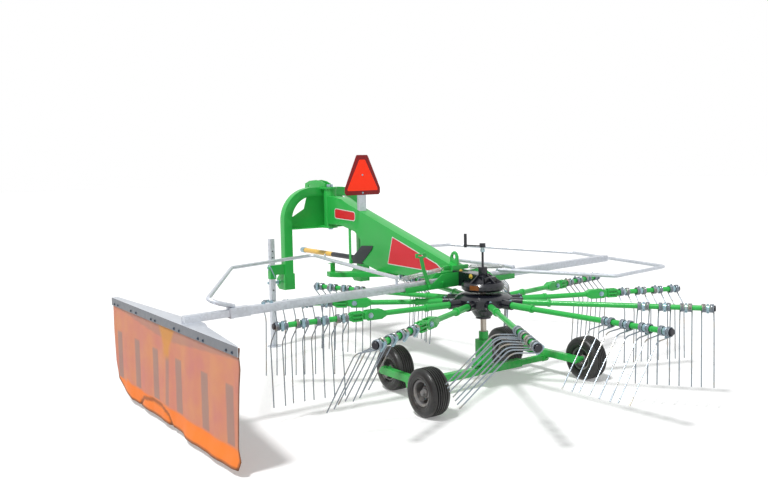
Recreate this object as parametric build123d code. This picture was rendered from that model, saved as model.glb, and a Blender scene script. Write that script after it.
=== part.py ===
"""Rotary rake with one tine rotor on tandem wheels, carried by a swivelling three-point headstock.

Millimetres. +X forward to the tractor, +Y to the machine's left, +Z up, ground at Z = 0.
Everything is laid out from the rotor's upright axis and moved to the part's own origin at the end.
"""
import math
import os

from build123d import *

# Place of the rotor axis seen from the part's origin
ROTOR_X = -645.0
ROTOR_Y = -68.8

# General clearances
SEAT_GAP = 0.3
RUNNING_GAP = 0.05
SIDE_GAP = 6.0

# Column and height slide
COLUMN_R = 25.0
COLUMN_BOTTOM = 250.0
COVER_BOTTOM = 812.0
COVER_TOP = 880.0
COVER_R = 178.0
COVER_NECK_R = 60.0
COVER_NECK_TOP = 920.0
RIB_T = 10.0
PEDESTAL_TOP = 470.0
PEDESTAL_BOX_TOP = 405.0
PEDESTAL_COLLAR_R = 40.0
PEDESTAL_W = 100.0
PEDESTAL_FOOT_W = 150.0
PEDESTAL_FOOT_T = 12.0
LEVER_BOSS_R = 36.0
LEVER_BOSS_Z = 222.0

# Rotor
HUB_BOTTOM = 580.0
HUB_NOSE_R = 64.0
HUB_TOP = 790.0
HUB_R = 240.0
ARM_COUNT = 11
ARM_Z = 722.0
FIRST_ARM_AZIMUTH = 281.6
SOCKET_R = 37.0
SOCKET_END = 335.0
SPIGOT_START = 250.0
SLEEVE_R = 27.0
SLEEVE_END = 560.0
COLLAR_R = 32.0
COLLAR_L = 24.0
TUBE_R = 21.0

# Fold hinge in the arms
HINGE_RADIUS = 1060.0
HINGE_PIN_R = 10.0
FORK_HALF_H = 38.0
FORK_INNER_HALF = 20.0
FORK_PLATE = 10.0
FORK_START = HINGE_RADIUS - 135
FORK_WEB_END = HINGE_RADIUS - 40
FORK_NOSE = HINGE_RADIUS + 50
TONGUE_GAP = 1.0
TONGUE_NOSE_R = 28.0
BLOCK_START = HINGE_RADIUS + 65
BLOCK_END = BLOCK_START + 115

# Double spring tines
CLAMPS_PER_ARM = 4
FIRST_CLAMP = BLOCK_END + 50
CLAMP_PITCH = 160.0
ARM_END = FIRST_CLAMP + (CLAMPS_PER_ARM - 1) * CLAMP_PITCH + 60
CLAMP_W = 26.0
CLAMP_HALF_H = 36.0
CLAMP_HALF_DEPTH = 30.0
COIL_R = 35.0
COIL_L = 24.0
COIL_FACETS = 8
TINE_R = 5.0
TINE_FACETS = 6
TINE_BEND_OUT = 100.0
TINE_BEND_DROP = 132.0
TINE_DROP = 600.0

# Tandem wheels
WHEEL_R = 182.5
TYRE_W = 168.0
TYRE_BEAD_R = 88.0
RIM_HALF_W = 60.0
RIM_FLANGE_R = 97.0
RIM_WALL = 5.0
WHEEL_HUB_R = 30.0
WHEEL_HUB_HALF = 45.0
STUB_R = 12.5
STUB_COLLAR_R = 20.0
NUT_R = 19.0
NUT_L = 12.0
REAR_WHEEL_X = -360.0
REAR_WHEEL_Y = 836.0
FRONT_WHEEL_X = 420.0
FRONT_WHEEL_Y = 604.0
BOGIE_Y = 720.0
BOGIE_W = 50.0
BOGIE_H = 58.0
BOGIE_PIVOT_X = 30.0
BOGIE_PIVOT_R = 20.0
BOGIE_BOSS_R = 34.0
AXLE_Z = 135.0
AXLE_INNER = 62.0
AXLE_OUTER = 46.0
AXLE_STEP_Y = 430.0

# Boom, a box of plates
BOOM_HALF_W = 61.0
BOOM_PLATE = 8.0
EYE_T = 20.0
EYE_HOLE_R = 25.0
BOOM_REAR_X = 328.0
BOOM_FRONT_X = 1801.0
BOOM_LOW_Z = 838.0
SWIVEL_X = 2480.0
SWIVEL_PIN_R = 25.0
BUSH_R = 66.0
SWIVEL_LUG_R = 75.0
SWIVEL_HEAD = 30.0
LUG_LOW_TOP = 1215.0
LUG_HIGH_BOTTOM = 1600.0
LUG_PLATE = 20.0

# Warning triangle
SIGN_X = 1798.0
SIGN_Y = 21.0
SIGN_T = 4.0

# Headstock
HEAD_X = 2600.0
HEAD_TUBE = 90.0
HEAD_LEG_Y = 455.0
HEAD_TOP_Z = 1575.0
HEAD_BOTTOM_Z = 576.0
HEAD_BEND_R = 290.0
LINK_PIN_X = 2700.0
LINK_PIN_Z = 645.0
LINK_PIN_R = 14.0
LINK_PIN_FREE = 110.0
LINK_SHANK_R = 16.0
LINK_COLLAR_R = 24.0
LINK_COLLAR = 10.0
LINK_PLATE = 12.0
TOP_LINK_X = 2862.0
TOP_LINK_Z = 1628.0
TOP_LINK_BORE_R = 12.9
TOP_LINK_GAP = 52.0
TOP_LINK_PLATE = 12.0

# Parking stand
STAND_X = 2600.0
STAND_Y = 630.0
STAND_W = 50.0
STAND_TOP = 1110.0
STAND_SLEEVE_LOW = 700.0
STAND_SLEEVE_HIGH = 840.0
STAND_SLEEVE_WALL = 6.0
STAND_FOOT_R = 70.0
STAND_FOOT_T = 10.0
STAND_HOLE_R = 8.0

# Drive shaft
SHAFT_Z = 915.0
SHAFT_REAR_X = BOOM_FRONT_X + SEAT_GAP
SHAFT_DARK_X = 2447.0
SHAFT_FRONT_X = 3045.0
SHAFT_GUARD_R = 26.0
SHAFT_DARK_R = 26.0
YOKE_END_X = 3120.0
YOKE_R = 30.0
HANGER_X = 2010.0
COWL_FRONT_X = 1940.0
COWL_WALL = 6.0
SPLINE_BORE_R = 17.5

# Guards
GUARD_PIN_Z = 870.0
GUARD_PIN_Y = 225.0
GUARD_PIN_R = 12.0
GUARD_X = 290.0
GUARD_TUBE = 60.0
GUARD_WALL = 4.0
CHEEK = 8.0
LEVER_T = 10.0
RIGHT_TURN = 6.5
BEAM_DROOP = 1.1
RIGHT_SIDE_GAP = 16.0
LEFT_BEAM_END = 2095.0
RIGHT_BEAM_END = 2045.0
HOOP_R = 16.5
HOOP_BEND_R = 60.0
HOOP_Z = 945.0
REST_DEPTH = 45.0
REST_WALL = 6.0
REST_POST = 84.0

# Swath curtain
CURTAIN_Y = 2450.0
CURTAIN_REAR_X = -680.0
CURTAIN_TOP = 796.0
CURTAIN_BOTTOM = 45.0
CURTAIN_T = 6.0
RAIL_REAR_X = -665.0
RAIL_FRONT_X = 1820.0
RAIL_TOP = 802.0
RAIL_FLANGE = 62.0
RAIL_T = 5.0
SLIDE_END_Y = 2420.0
SLIDE_TUBE = GUARD_TUBE - 2 * GUARD_WALL - 2 * SEAT_GAP
SLIDE_INNER_Y = 1500.0


def box(x0, x1, y0, y1, z0, z1):
    centre = Pos((x0 + x1) / 2, (y0 + y1) / 2, (z0 + z1) / 2)
    return centre * Box(abs(x1 - x0), abs(y1 - y0), abs(z1 - z0))


def rod(start, end, radius):
    axis = Vector(end) - Vector(start)
    plane = Plane(origin=start, z_dir=axis)
    return plane * Cylinder(radius, axis.length, align=(Align.CENTER, Align.CENTER, Align.MIN))


def bar(start, end, width, height):
    """Rectangular bar between two points, its width level and its height upright."""
    axis = Vector(end) - Vector(start)
    level = Vector(0, 0, 1).cross(axis)
    plane = Plane(origin=start, x_dir=level, z_dir=axis)
    return plane * Box(width, height, axis.length, align=(Align.CENTER, Align.CENTER, Align.MIN))


def side_plate(points, y0, y1):
    """Outline of (x, z) points as a plate that spans y0 to y1."""
    plane = Plane(origin=(0, max(y0, y1), 0), x_dir=(1, 0, 0), z_dir=(0, -1, 0))
    return extrude(plane * make_face(Polyline(*points, close=True)), amount=abs(y1 - y0))


def cross_plate(points, x0, x1):
    """Outline of (y, z) points as a plate that spans x0 to x1."""
    plane = Plane(origin=(min(x0, x1), 0, 0), x_dir=(0, 1, 0), z_dir=(1, 0, 0))
    return extrude(plane * make_face(Polyline(*points, close=True)), amount=abs(x1 - x0))


def level_plate(points, z0, z1):
    """Outline of (x, y) points as a plate that spans z0 to z1."""
    plane = Plane(origin=(0, 0, z0))
    return extrude(plane * make_face(Polyline(*points, close=True)), amount=z1 - z0)


def bent_pipe(points, bend, radius):
    path = FilletPolyline(*points, radius=bend)
    section = Plane(origin=path @ 0, z_dir=path % 0) * Circle(radius)
    return sweep(section, path=path)


def turned(points):
    """Solid of revolution about Z from (radius, z) points."""
    return revolve(Plane.XZ * make_face(Polyline(*points, close=True)), Axis.Z)


def mirrored(shape):
    return mirror(shape, about=Plane.XZ)


# Rotor: hub, sockets, fixed stubs and spring-tine arms
def rotor_hub():
    bore = COLUMN_R + RUNNING_GAP
    body = turned([
        (bore, HUB_BOTTOM), (HUB_NOSE_R, HUB_BOTTOM), (HUB_NOSE_R, HUB_BOTTOM + 16), (72, 600), (105, 650),
        (150, 668), (190, 676), (HUB_R, 690), (HUB_R, 752), (205, HUB_TOP - 12), (150, HUB_TOP),
        (bore, HUB_TOP),
    ])
    socket = rod((SPIGOT_START - 60, 0, ARM_Z), (SOCKET_END, 0, ARM_Z), SOCKET_R)
    pocket = rod((SPIGOT_START, 0, ARM_Z), (SOCKET_END + 1, 0, ARM_Z), SLEEVE_R + SEAT_GAP)
    turns = [Rot(0, 0, azimuth) for azimuth in arm_azimuths().values()]
    body += [turn * socket for turn in turns]
    return body - [turn * pocket for turn in turns]


def arm_azimuths():
    pitch = 360 / ARM_COUNT
    return {name: FIRST_ARM_AZIMUTH - k * pitch for k, name in enumerate("abcdefghjkl")}


# Cam angle of each arm about its own axis: 0 hangs the tines down, more lifts them behind the arm
CAM_ANGLE = {
    "a": -4, "b": 0, "c": 16, "d": 38, "e": 46, "f": 29, "g": -3, "h": -6, "j": -4, "k": -4, "l": -4,
}
FOLDING_ARMS = "ablfgh"


def tine():
    path = Polyline((0, -COIL_R + TINE_R), (-TINE_BEND_OUT, -TINE_BEND_DROP), (-TINE_BEND_OUT, -TINE_DROP))
    path = Plane.YZ * path
    section = Plane(origin=path @ 0, z_dir=path % 0) * RegularPolygon(TINE_R, TINE_FACETS)
    return sweep(section, path=path, transition=Transition.RIGHT)


def clamp():
    """Bolted clamp with a coil on each side, each coil ending in one tine."""
    body = Box(CLAMP_W, 2 * CLAMP_HALF_DEPTH, 2 * CLAMP_HALF_H)
    coil = Plane.YZ * RegularPolygon(COIL_R, COIL_FACETS)
    for side in (-1, 1):
        start = side * CLAMP_W / 2
        body += extrude(Pos(start, 0, 0) * coil, amount=side * COIL_L)
        body += Pos(start + side * (COIL_L - TINE_R), 0, 0) * tine()
    return body


def outer_arm(start):
    """Tube with its tine clamps, along +X with its axis through the origin."""
    body = rod((start, 0, 0), (ARM_END, 0, 0), TUBE_R)
    one = clamp()
    for k in range(CLAMPS_PER_ARM):
        body += Pos(FIRST_CLAMP + k * CLAMP_PITCH, 0, 0) * one
    return body


def sleeve():
    body = rod((SPIGOT_START + SEAT_GAP, 0, 0), (SLEEVE_END, 0, 0), SLEEVE_R)
    return body + rod((SLEEVE_END - COLLAR_L, 0, 0), (SLEEVE_END, 0, 0), COLLAR_R)


def fork_outline():
    h = FORK_HALF_H
    return [
        (FORK_START, -18), (FORK_START + 40, -h), (FORK_NOSE - 25, -h), (FORK_NOSE, -15),
        (FORK_NOSE, 15), (FORK_NOSE - 25, h), (FORK_START + 40, h), (FORK_START, 18),
    ]


def arm_stub():
    """Sleeve, inner tube and fork of a folding arm."""
    outer_half = FORK_INNER_HALF + FORK_PLATE
    body = sleeve() + rod((SLEEVE_END - 1, 0, 0), (FORK_WEB_END - 40, 0, 0), TUBE_R)
    fork = side_plate(fork_outline(), -outer_half, outer_half)
    slot = box(FORK_WEB_END, FORK_NOSE + 10, -FORK_INNER_HALF, FORK_INNER_HALF, -60, 60)
    hole = rod((HINGE_RADIUS, -60, 0), (HINGE_RADIUS, 60, 0), HINGE_PIN_R + SEAT_GAP)
    return body + (fork - slot - hole)


def folding_arm(cam):
    """Tongue on the fold pin, outer block, tube and tines."""
    half = FORK_INNER_HALF - TONGUE_GAP
    wide = FORK_INNER_HALF + FORK_PLATE
    h = FORK_HALF_H
    tongue = side_plate([
        (HINGE_RADIUS, -TONGUE_NOSE_R), (BLOCK_START + 5, -TONGUE_NOSE_R),
        (BLOCK_START + 5, TONGUE_NOSE_R), (HINGE_RADIUS, TONGUE_NOSE_R),
    ], -half, half)
    tongue += rod((HINGE_RADIUS, -half, 0), (HINGE_RADIUS, half, 0), TONGUE_NOSE_R)
    block = side_plate([
        (BLOCK_START, -h), (BLOCK_END - 40, -h), (BLOCK_END, -20),
        (BLOCK_END, 20), (BLOCK_END - 40, h), (BLOCK_START, h),
    ], -wide, wide)
    bore = rod((HINGE_RADIUS, -60, 0), (HINGE_RADIUS, 60, 0), HINGE_PIN_R + RUNNING_GAP)
    return (tongue + block - bore) + Rot(-cam, 0, 0) * outer_arm(BLOCK_END - 20)


def rigid_arm(cam):
    return sleeve() + Rot(-cam, 0, 0) * outer_arm(SLEEVE_END - 1)


def hinge_pin():
    half = FORK_INNER_HALF + FORK_PLATE
    pin = rod((HINGE_RADIUS, -half - 8, 0), (HINGE_RADIUS, half + 8, 0), HINGE_PIN_R)
    return pin + rod((HINGE_RADIUS, half + SEAT_GAP, 0), (HINGE_RADIUS, half + 8, 0), HINGE_PIN_R + 7)


def at_arm(name, shape):
    return Pos(0, 0, ARM_Z) * (Rot(0, 0, arm_azimuths()[name]) * shape)


def rotor_nodes():
    nodes = {"rotor_hub": rotor_hub()}
    for name in arm_azimuths():
        if name not in FOLDING_ARMS:
            nodes[f"rigid_tine_arm_{name}"] = at_arm(name, rigid_arm(CAM_ANGLE[name]))
    stub = arm_stub()
    pin = hinge_pin()
    nodes["arm_stubs"] = [at_arm(name, stub) for name in FOLDING_ARMS]
    nodes["arm_fold_pins"] = [at_arm(name, pin) for name in FOLDING_ARMS]
    for name in FOLDING_ARMS:
        nodes[f"folding_tine_arm_{name}"] = at_arm(name, folding_arm(CAM_ANGLE[name]))
    return nodes


# Wheels and undercarriage
def tyre():
    w = TYRE_W / 2
    inner = TYRE_BEAD_R + SEAT_GAP
    half = [
        (inner, RIM_HALF_W - 2), (RIM_FLANGE_R + 2, RIM_HALF_W - 2), (RIM_FLANGE_R + 8, w - 8),
        (122, w), (146, w), (168, w - 9), (WHEEL_R - 1, w - 27), (WHEEL_R, 0),
    ]
    other = [(r, -y) for r, y in reversed(half[:-1])]
    return turned(half + other)


def rim():
    """Dished disc rim with a hub tube, outer face towards +Z."""
    wall = TYRE_BEAD_R - RIM_WALL
    bore = STUB_R + RUNNING_GAP
    f = RIM_HALF_W
    return turned([
        (bore, -WHEEL_HUB_HALF), (WHEEL_HUB_R, -WHEEL_HUB_HALF), (WHEEL_HUB_R, 4), (58, 12),
        (wall, 4), (wall, -f), (RIM_FLANGE_R, -f - 6), (RIM_FLANGE_R, -f), (TYRE_BEAD_R, -f + 1),
        (TYRE_BEAD_R, f - 1), (RIM_FLANGE_R, f), (RIM_FLANGE_R, f + 6), (wall, f), (wall, 12),
        (58, 20), (WHEEL_HUB_R, 12), (WHEEL_HUB_R, WHEEL_HUB_HALF), (bore, WHEEL_HUB_HALF),
    ])


WHEELS = {
    "front_left": (FRONT_WHEEL_X, FRONT_WHEEL_Y),
    "rear_left": (REAR_WHEEL_X, REAR_WHEEL_Y),
    "front_right": (FRONT_WHEEL_X, -FRONT_WHEEL_Y),
    "rear_right": (REAR_WHEEL_X, -REAR_WHEEL_Y),
}


def wheel_nodes():
    nodes = {}
    for name, (x, y) in WHEELS.items():
        away = 1 if abs(y) > BOGIE_Y else -1
        lay = Rot(-90, 0, 0) if y * away > 0 else Rot(90, 0, 0)
        spot = Pos(x, y, WHEEL_R)
        nodes[f"tyre_{name}"] = spot * (lay * tyre())
        nodes[f"rim_{name}"] = spot * (lay * rim())
    return nodes


def stub_axle(x, y):
    """Collar, stub and nut, outwards from the bogie beam through one wheel hub."""
    side = 1 if y > BOGIE_Y else -1
    face = BOGIE_Y + side * BOGIE_W / 2
    near = y - side * WHEEL_HUB_HALF
    far = y + side * WHEEL_HUB_HALF
    gap = side * 2 * SEAT_GAP
    body = rod((x, face - side * 5, WHEEL_R), (x, near - gap, WHEEL_R), STUB_COLLAR_R)
    body += rod((x, face, WHEEL_R), (x, far + gap + side * NUT_L, WHEEL_R), STUB_R)
    return body + rod((x, far + gap, WHEEL_R), (x, far + gap + side * NUT_L, WHEEL_R), NUT_R)


def bogie():
    """Left tandem beam with rounded ends, a pivot boss and its two stub axles."""
    y0 = BOGIE_Y - BOGIE_W / 2
    y1 = BOGIE_Y + BOGIE_W / 2
    half = BOGIE_H / 2
    body = box(REAR_WHEEL_X, FRONT_WHEEL_X, y0, y1, WHEEL_R - half, WHEEL_R + half)
    for x in (REAR_WHEEL_X, FRONT_WHEEL_X):
        body += rod((x, y0, WHEEL_R), (x, y1, WHEEL_R), half)
    body += rod((BOGIE_PIVOT_X, y0, AXLE_Z), (BOGIE_PIVOT_X, y1, AXLE_Z), BOGIE_BOSS_R)
    web = [(-90, 26), (90, 26), (BOGIE_BOSS_R - 2, -10), (2 - BOGIE_BOSS_R, -10)]
    body += side_plate([(BOGIE_PIVOT_X + x, AXLE_Z + z) for x, z in web], y0 + 10, y1 - 10)
    body += stub_axle(REAR_WHEEL_X, REAR_WHEEL_Y)
    body += stub_axle(FRONT_WHEEL_X, FRONT_WHEEL_Y)
    return body - rod((BOGIE_PIVOT_X, y0 - 1, AXLE_Z), (BOGIE_PIVOT_X, y1 + 1, AXLE_Z),
                      BOGIE_PIVOT_R + SEAT_GAP)


def cross_axle():
    x = BOGIE_PIVOT_X
    inner = AXLE_INNER / 2
    outer = AXLE_OUTER / 2
    end = BOGIE_Y - BOGIE_W / 2 - SEAT_GAP
    body = box(x - inner, x + inner, -AXLE_STEP_Y, AXLE_STEP_Y, AXLE_Z - inner, AXLE_Z + inner)
    for side in (-1, 1):
        body += box(x - outer, x + outer, side * AXLE_STEP_Y, side * end, AXLE_Z - outer, AXLE_Z + outer)
        pin_end = side * (BOGIE_Y + BOGIE_W / 2 + 4)
        body += rod((x, side * end, AXLE_Z), (x, pin_end, AXLE_Z), BOGIE_PIVOT_R)
    return body


def pedestal():
    """Square post on a foot plate with a collar around the column and the boss of the height lever."""
    half = PEDESTAL_W / 2
    foot = PEDESTAL_FOOT_W / 2
    low = AXLE_Z + AXLE_INNER / 2
    body = box(-half, half, -half, half, low, PEDESTAL_BOX_TOP)
    body += box(-foot, foot, -foot, foot, low, low + PEDESTAL_FOOT_T)
    body += rod((0, 0, low), (0, 0, PEDESTAL_TOP), PEDESTAL_COLLAR_R)
    body += rod((0, 0, LEVER_BOSS_Z), (0, half + 50, LEVER_BOSS_Z), LEVER_BOSS_R)
    return body - rod((0, 0, low - 1), (0, 0, PEDESTAL_TOP + 1), COLUMN_R + RUNNING_GAP)


# Boom, gearbox, column and crank
def boom_outline():
    """Side view of the boom as (x, z)."""
    end = SWIVEL_X - 40
    return [
        (BOOM_REAR_X, 826), (620, BOOM_LOW_Z), (1505, BOOM_LOW_Z), (BOOM_FRONT_X, 896), (BOOM_FRONT_X, 1116),
        (1903, 1190), (2171, 1240), (end, 1243), (end, 1530), (2160, 1508), (2037, 1463), (BOOM_REAR_X, 987),
    ]


def boom():
    inner = offset(make_face(Polyline(*boom_outline(), close=True)), amount=-BOOM_PLATE)
    inner = Plane(origin=(0, BOOM_HALF_W - BOOM_PLATE, 0), x_dir=(1, 0, 0), z_dir=(0, -1, 0)) * inner
    body = side_plate(boom_outline(), -BOOM_HALF_W, BOOM_HALF_W)
    body -= extrude(inner, amount=2 * (BOOM_HALF_W - BOOM_PLATE))
    low = LUG_LOW_TOP + 2 * SEAT_GAP
    high = LUG_HIGH_BOTTOM - 2 * SEAT_GAP
    body += rod((SWIVEL_X, 0, low), (SWIVEL_X, 0, high), BUSH_R)
    body += lifting_eye()
    return body - rod((SWIVEL_X, 0, low - 1), (SWIVEL_X, 0, high + 1), SWIVEL_PIN_R + RUNNING_GAP)


def lifting_eye():
    """Upright ring plate on the rear end of the boom."""
    ring = [(330, 980), (330, 1060), (346, 1092), (375, 1106), (404, 1092), (425, 1060), (425, 980)]
    eye = side_plate(ring, -EYE_T / 2, EYE_T / 2)
    return eye - rod((378, -EYE_T, 1056), (378, EYE_T, 1056), EYE_HOLE_R)


def gear_cover():
    """Round cover over the cam track, with a neck and ribs around it."""
    body = turned([
        (0, COVER_BOTTOM), (COVER_R - 22, COVER_BOTTOM), (COVER_R, COVER_BOTTOM + 16),
        (COVER_R, COVER_TOP - 22), (COVER_R - 16, COVER_TOP), (COVER_NECK_R + 50, COVER_TOP),
        (COVER_NECK_R, COVER_NECK_TOP), (0, COVER_NECK_TOP),
    ])
    rib = side_plate([
        (COVER_NECK_R - 20, COVER_TOP - 5), (COVER_R - 20, COVER_TOP - 5), (COVER_R - 20, COVER_TOP + 3),
        (COVER_NECK_R, COVER_NECK_TOP + 25), (COVER_NECK_R - 20, COVER_NECK_TOP + 25),
    ], -RIB_T / 2, RIB_T / 2)
    return body + [Rot(0, 0, angle) * rib for angle in (100, 140, 180, 220, 260)]


def gearbox():
    """Cast housing from the cover's neck to the rear end of the boom."""
    body = side_plate([
        (-96, COVER_TOP), (-96, 925), (30, 944), (BOOM_REAR_X, 950), (BOOM_REAR_X, 826), (COVER_R + 12, 826),
        (COVER_R + 12, COVER_TOP),
    ], -BOOM_HALF_W, BOOM_HALF_W)
    return body - gear_cover()


def crank():
    """Height crank: base, spindle, clevis, arm and grip."""
    turn = Rot(0, 0, 26)
    body = box(-26, 26, -26, 26, COVER_NECK_TOP, 1004)
    body += rod((0, 0, 1002), (0, 0, 1140), 10)
    body += rod((0, 0, 1136), (0, 0, 1168), 15)
    body += rod((0, 0, 1166), (0, 0, 1200), 25)
    body += turn * box(0, 168, -12, 12, 1172, 1182)
    body += turn * rod((155, 0, 1160), (155, 0, 1274), 13)
    return body - gearbox() - gear_cover()


def sign_post():
    """Angle that stands on the boom behind the triangle."""
    x = SIGN_X + SIGN_T
    low = 1380
    body = box(x, x + 6, SIGN_Y - 40, SIGN_Y + 40, low, 1640)
    body += box(x, x + 40, SIGN_Y + 34, SIGN_Y + 40, low, 1640)
    return body - side_plate(boom_outline(), -BOOM_HALF_W, BOOM_HALF_W)


def warning_triangle():
    """Triangle with cut corners."""
    half = [(185, 1555), (203, 1576), (203, 1624), (68, 1938), (58, 1948)]
    points = [(SIGN_Y + y, z) for y, z in half] + [(SIGN_Y - y, z) for y, z in reversed(half)]
    return cross_plate(points, SIGN_X, SIGN_X + SIGN_T)


# Drive shaft with its guard, cowl and hanger
def drive_shaft():
    dark = rod((SHAFT_REAR_X, 0, SHAFT_Z), (SHAFT_DARK_X, 0, SHAFT_Z), SHAFT_DARK_R)
    guard = rod((SHAFT_DARK_X, 0, SHAFT_Z), (SHAFT_FRONT_X, 0, SHAFT_Z), SHAFT_GUARD_R)
    yoke = rod((SHAFT_FRONT_X + SEAT_GAP, 0, SHAFT_Z), (YOKE_END_X, 0, SHAFT_Z), YOKE_R)
    yoke -= rod((YOKE_END_X - 70, 0, SHAFT_Z), (YOKE_END_X + 1, 0, SHAFT_Z), SPLINE_BORE_R)
    return dark, guard, yoke


def shaft_cowl():
    """Hood around the boom's front edge where the drive shaft leaves it."""
    inner = BOOM_HALF_W + SEAT_GAP
    outer = inner + COWL_WALL
    front = BOOM_FRONT_X + SEAT_GAP
    shell = side_plate([
        (1564, 1070), (1770, 1059), (1908, 958), (COWL_FRONT_X, 952), (COWL_FRONT_X, 872), (1800, 874),
        (1732, 920), (1590, 1033),
    ], -outer, outer)
    over_boom = box(1500, front, -inner, inner, 800, 1200)
    tunnel = side_plate([
        (front - 1, 1026), (1905, 949), (COWL_FRONT_X + 1, 945), (COWL_FRONT_X + 1, 880), (front - 1, 882),
    ], -inner, inner)
    return shell - over_boom - tunnel


def shaft_hanger():
    """Strap under the boom that carries the drive shaft when it is unhitched."""
    half = 56
    rear = HANGER_X - 20
    front = HANGER_X + 20
    body = box(rear, front, -half, 6 - half, 860, 1240) + box(rear, front, half - 6, half, 860, 1240)
    body += box(rear, front, -half, half, 1196, 1240) + box(rear, front, -half, half, 860, SHAFT_Z - 20)
    body -= rod((rear - 1, 0, SHAFT_Z), (front + 1, 0, SHAFT_Z), SHAFT_DARK_R + SEAT_GAP)
    return body - side_plate(boom_outline(), -BOOM_HALF_W, BOOM_HALF_W)


# Guard brackets, springs and rests on the boom
def guard_bracket(side):
    """Channel beside the boom in which the guard beam pivots on a pin along the machine."""
    half = GUARD_TUBE / 2 + (SIDE_GAP if side == "left" else RIGHT_SIDE_GAP)
    low = GUARD_PIN_Z - GUARD_TUBE / 2 - 8 - CHEEK
    outline = [(40, low), (600, low), (600, low + 44), (330, low + 48), (232, low + 116), (40, low + 116)]
    body = cross_plate(outline, -half - CHEEK, -half)
    body += cross_plate(outline, half, half + CHEEK)
    body += box(-half, half, GUARD_PIN_Y + 60, 600, low, low + CHEEK)
    return at_guard(body, side) + guard_pin(side, GUARD_PIN_R, half + CHEEK + 10)


def guard_pin(side, radius, half_length):
    y = GUARD_PIN_Y if side == "left" else -GUARD_PIN_Y
    return rod((GUARD_X - half_length, y, GUARD_PIN_Z), (GUARD_X + half_length, y, GUARD_PIN_Z), radius)


def at_guard(shape, side):
    """Set a guard piece that is drawn about its pin at X = 0 on the left or the right side."""
    if side == "left":
        droop = Pos(GUARD_X, GUARD_PIN_Y, GUARD_PIN_Z) * Rot(-BEAM_DROOP, 0, 0)
        return droop * Pos(0, -GUARD_PIN_Y, -GUARD_PIN_Z) * shape
    swing = Pos(GUARD_X, -GUARD_PIN_Y, 0) * Rot(0, 0, RIGHT_TURN) * Pos(0, GUARD_PIN_Y, 0)
    return swing * mirrored(shape)


def beside_boom(shape):
    return shape - box(0, SWIVEL_X, -BOOM_HALF_W, BOOM_HALF_W, 700, 1500)


def guard_spring():
    """Tension spring as its outer envelope with an eye rod at each end."""
    start = Vector(74, 129, 968)
    end = Vector(74, 590, 925)
    way = (end - start).normalized()
    body = rod(start + way * 40, end - way * 30, 19)
    return body + rod(start, end, 5)


def spring_lug():
    return box(60, 88, 40, 128, 950, 986)


def guard_rest():
    """Pressed channel arm from under the boom out below the guard hoop, with a stop that stands on it."""
    top = BOOM_LOW_Z
    points = [
        (1340, 1), (1480, 1), (1700, 320), (1790, 360), (1790, 450), (1700, 470), (1620, 420), (1340, 70),
    ]
    body = level_plate(points, top - REST_DEPTH, top)
    inside = offset(make_face(Polyline(*points, close=True)), amount=-REST_WALL)
    body -= extrude(Pos(0, 0, top - REST_DEPTH - 1) * inside, amount=REST_DEPTH + 1 - REST_WALL)
    stop_top = top + REST_POST
    return body + box(1716, 1722, 400, 450, top, stop_top) + box(1716, 1764, 400, 450, stop_top - 6, stop_top)


def latch_lever():
    """Flat lever with a slotted hook head on the rear cheek of the left guard bracket."""
    rear = -GUARD_TUBE / 2 - SIDE_GAP - CHEEK
    lever = cross_plate([
        (351, 838), (380, 832), (438, 990), (462, 1096), (500, 1104), (500, 1136), (400, 1136), (400, 1100),
        (428, 1094), (408, 998),
    ], rear - LEVER_T, rear)
    slot = box(rear - LEVER_T - 1, rear + 1, 424, 476, 1112, 1124)
    return lever - slot + rod((rear - LEVER_T - 8, 368, 848), (rear, 368, 848), 16)


# Guards with their hoops
def beam_outside(length_end):
    half = GUARD_TUBE / 2
    return box(-half, half, GUARD_PIN_Y - half, length_end, GUARD_PIN_Z - half, GUARD_PIN_Z + half)


def guard_beam(side, length_end):
    """Square tube, closed about its pin and open at its outer end."""
    body = beam_outside(length_end)
    inner = GUARD_TUBE / 2 - GUARD_WALL
    body -= box(-inner, inner, GUARD_PIN_Y + 60, length_end + 1, GUARD_PIN_Z - inner, GUARD_PIN_Z + inner)
    return at_guard(body, side) - guard_pin(side, GUARD_PIN_R + RUNNING_GAP, GUARD_TUBE)


def left_hoop():
    """Closed hoop from the outer end of the drooping beam around the front to its inner end."""
    top = GUARD_PIN_Z + GUARD_TUBE / 2
    outer_y = 2050
    outer_z = top - (outer_y - GUARD_PIN_Y) * math.tan(math.radians(BEAM_DROOP)) + HOOP_R - 3
    points = [
        (GUARD_X, outer_y, outer_z), (250, 2268, HOOP_Z), (1890, 1370, HOOP_Z), (2290, 320, HOOP_Z),
        (1770, 415, HOOP_Z), (GUARD_X, 655, HOOP_Z),
    ]
    body = bent_pipe(points, HOOP_BEND_R, HOOP_R)
    return body + rod((GUARD_X + 12, 653, top - 20), (GUARD_X + 12, 653, HOOP_Z), 10)


def right_hoop():
    top = GUARD_PIN_Z + GUARD_TUBE / 2
    points = [
        (300, -425, top + HOOP_R - 3), (-380, -1200, 852), (-240, -2040, 850), (690, -2200, 850),
        (1180, -2300, 850), (2320, -1450, 920), (2290, -320, HOOP_Z), (1770, -415, HOOP_Z),
        (345, -655, top + HOOP_R - 3),
    ]
    return bent_pipe(points, HOOP_BEND_R, HOOP_R)


# Swath curtain on its slide tube
def curtain_slide():
    half = SLIDE_TUBE / 2
    tube = box(-half, half, SLIDE_INNER_Y, SLIDE_END_Y, GUARD_PIN_Z - half, GUARD_PIN_Z + half)
    return at_guard(tube, "left")


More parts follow.
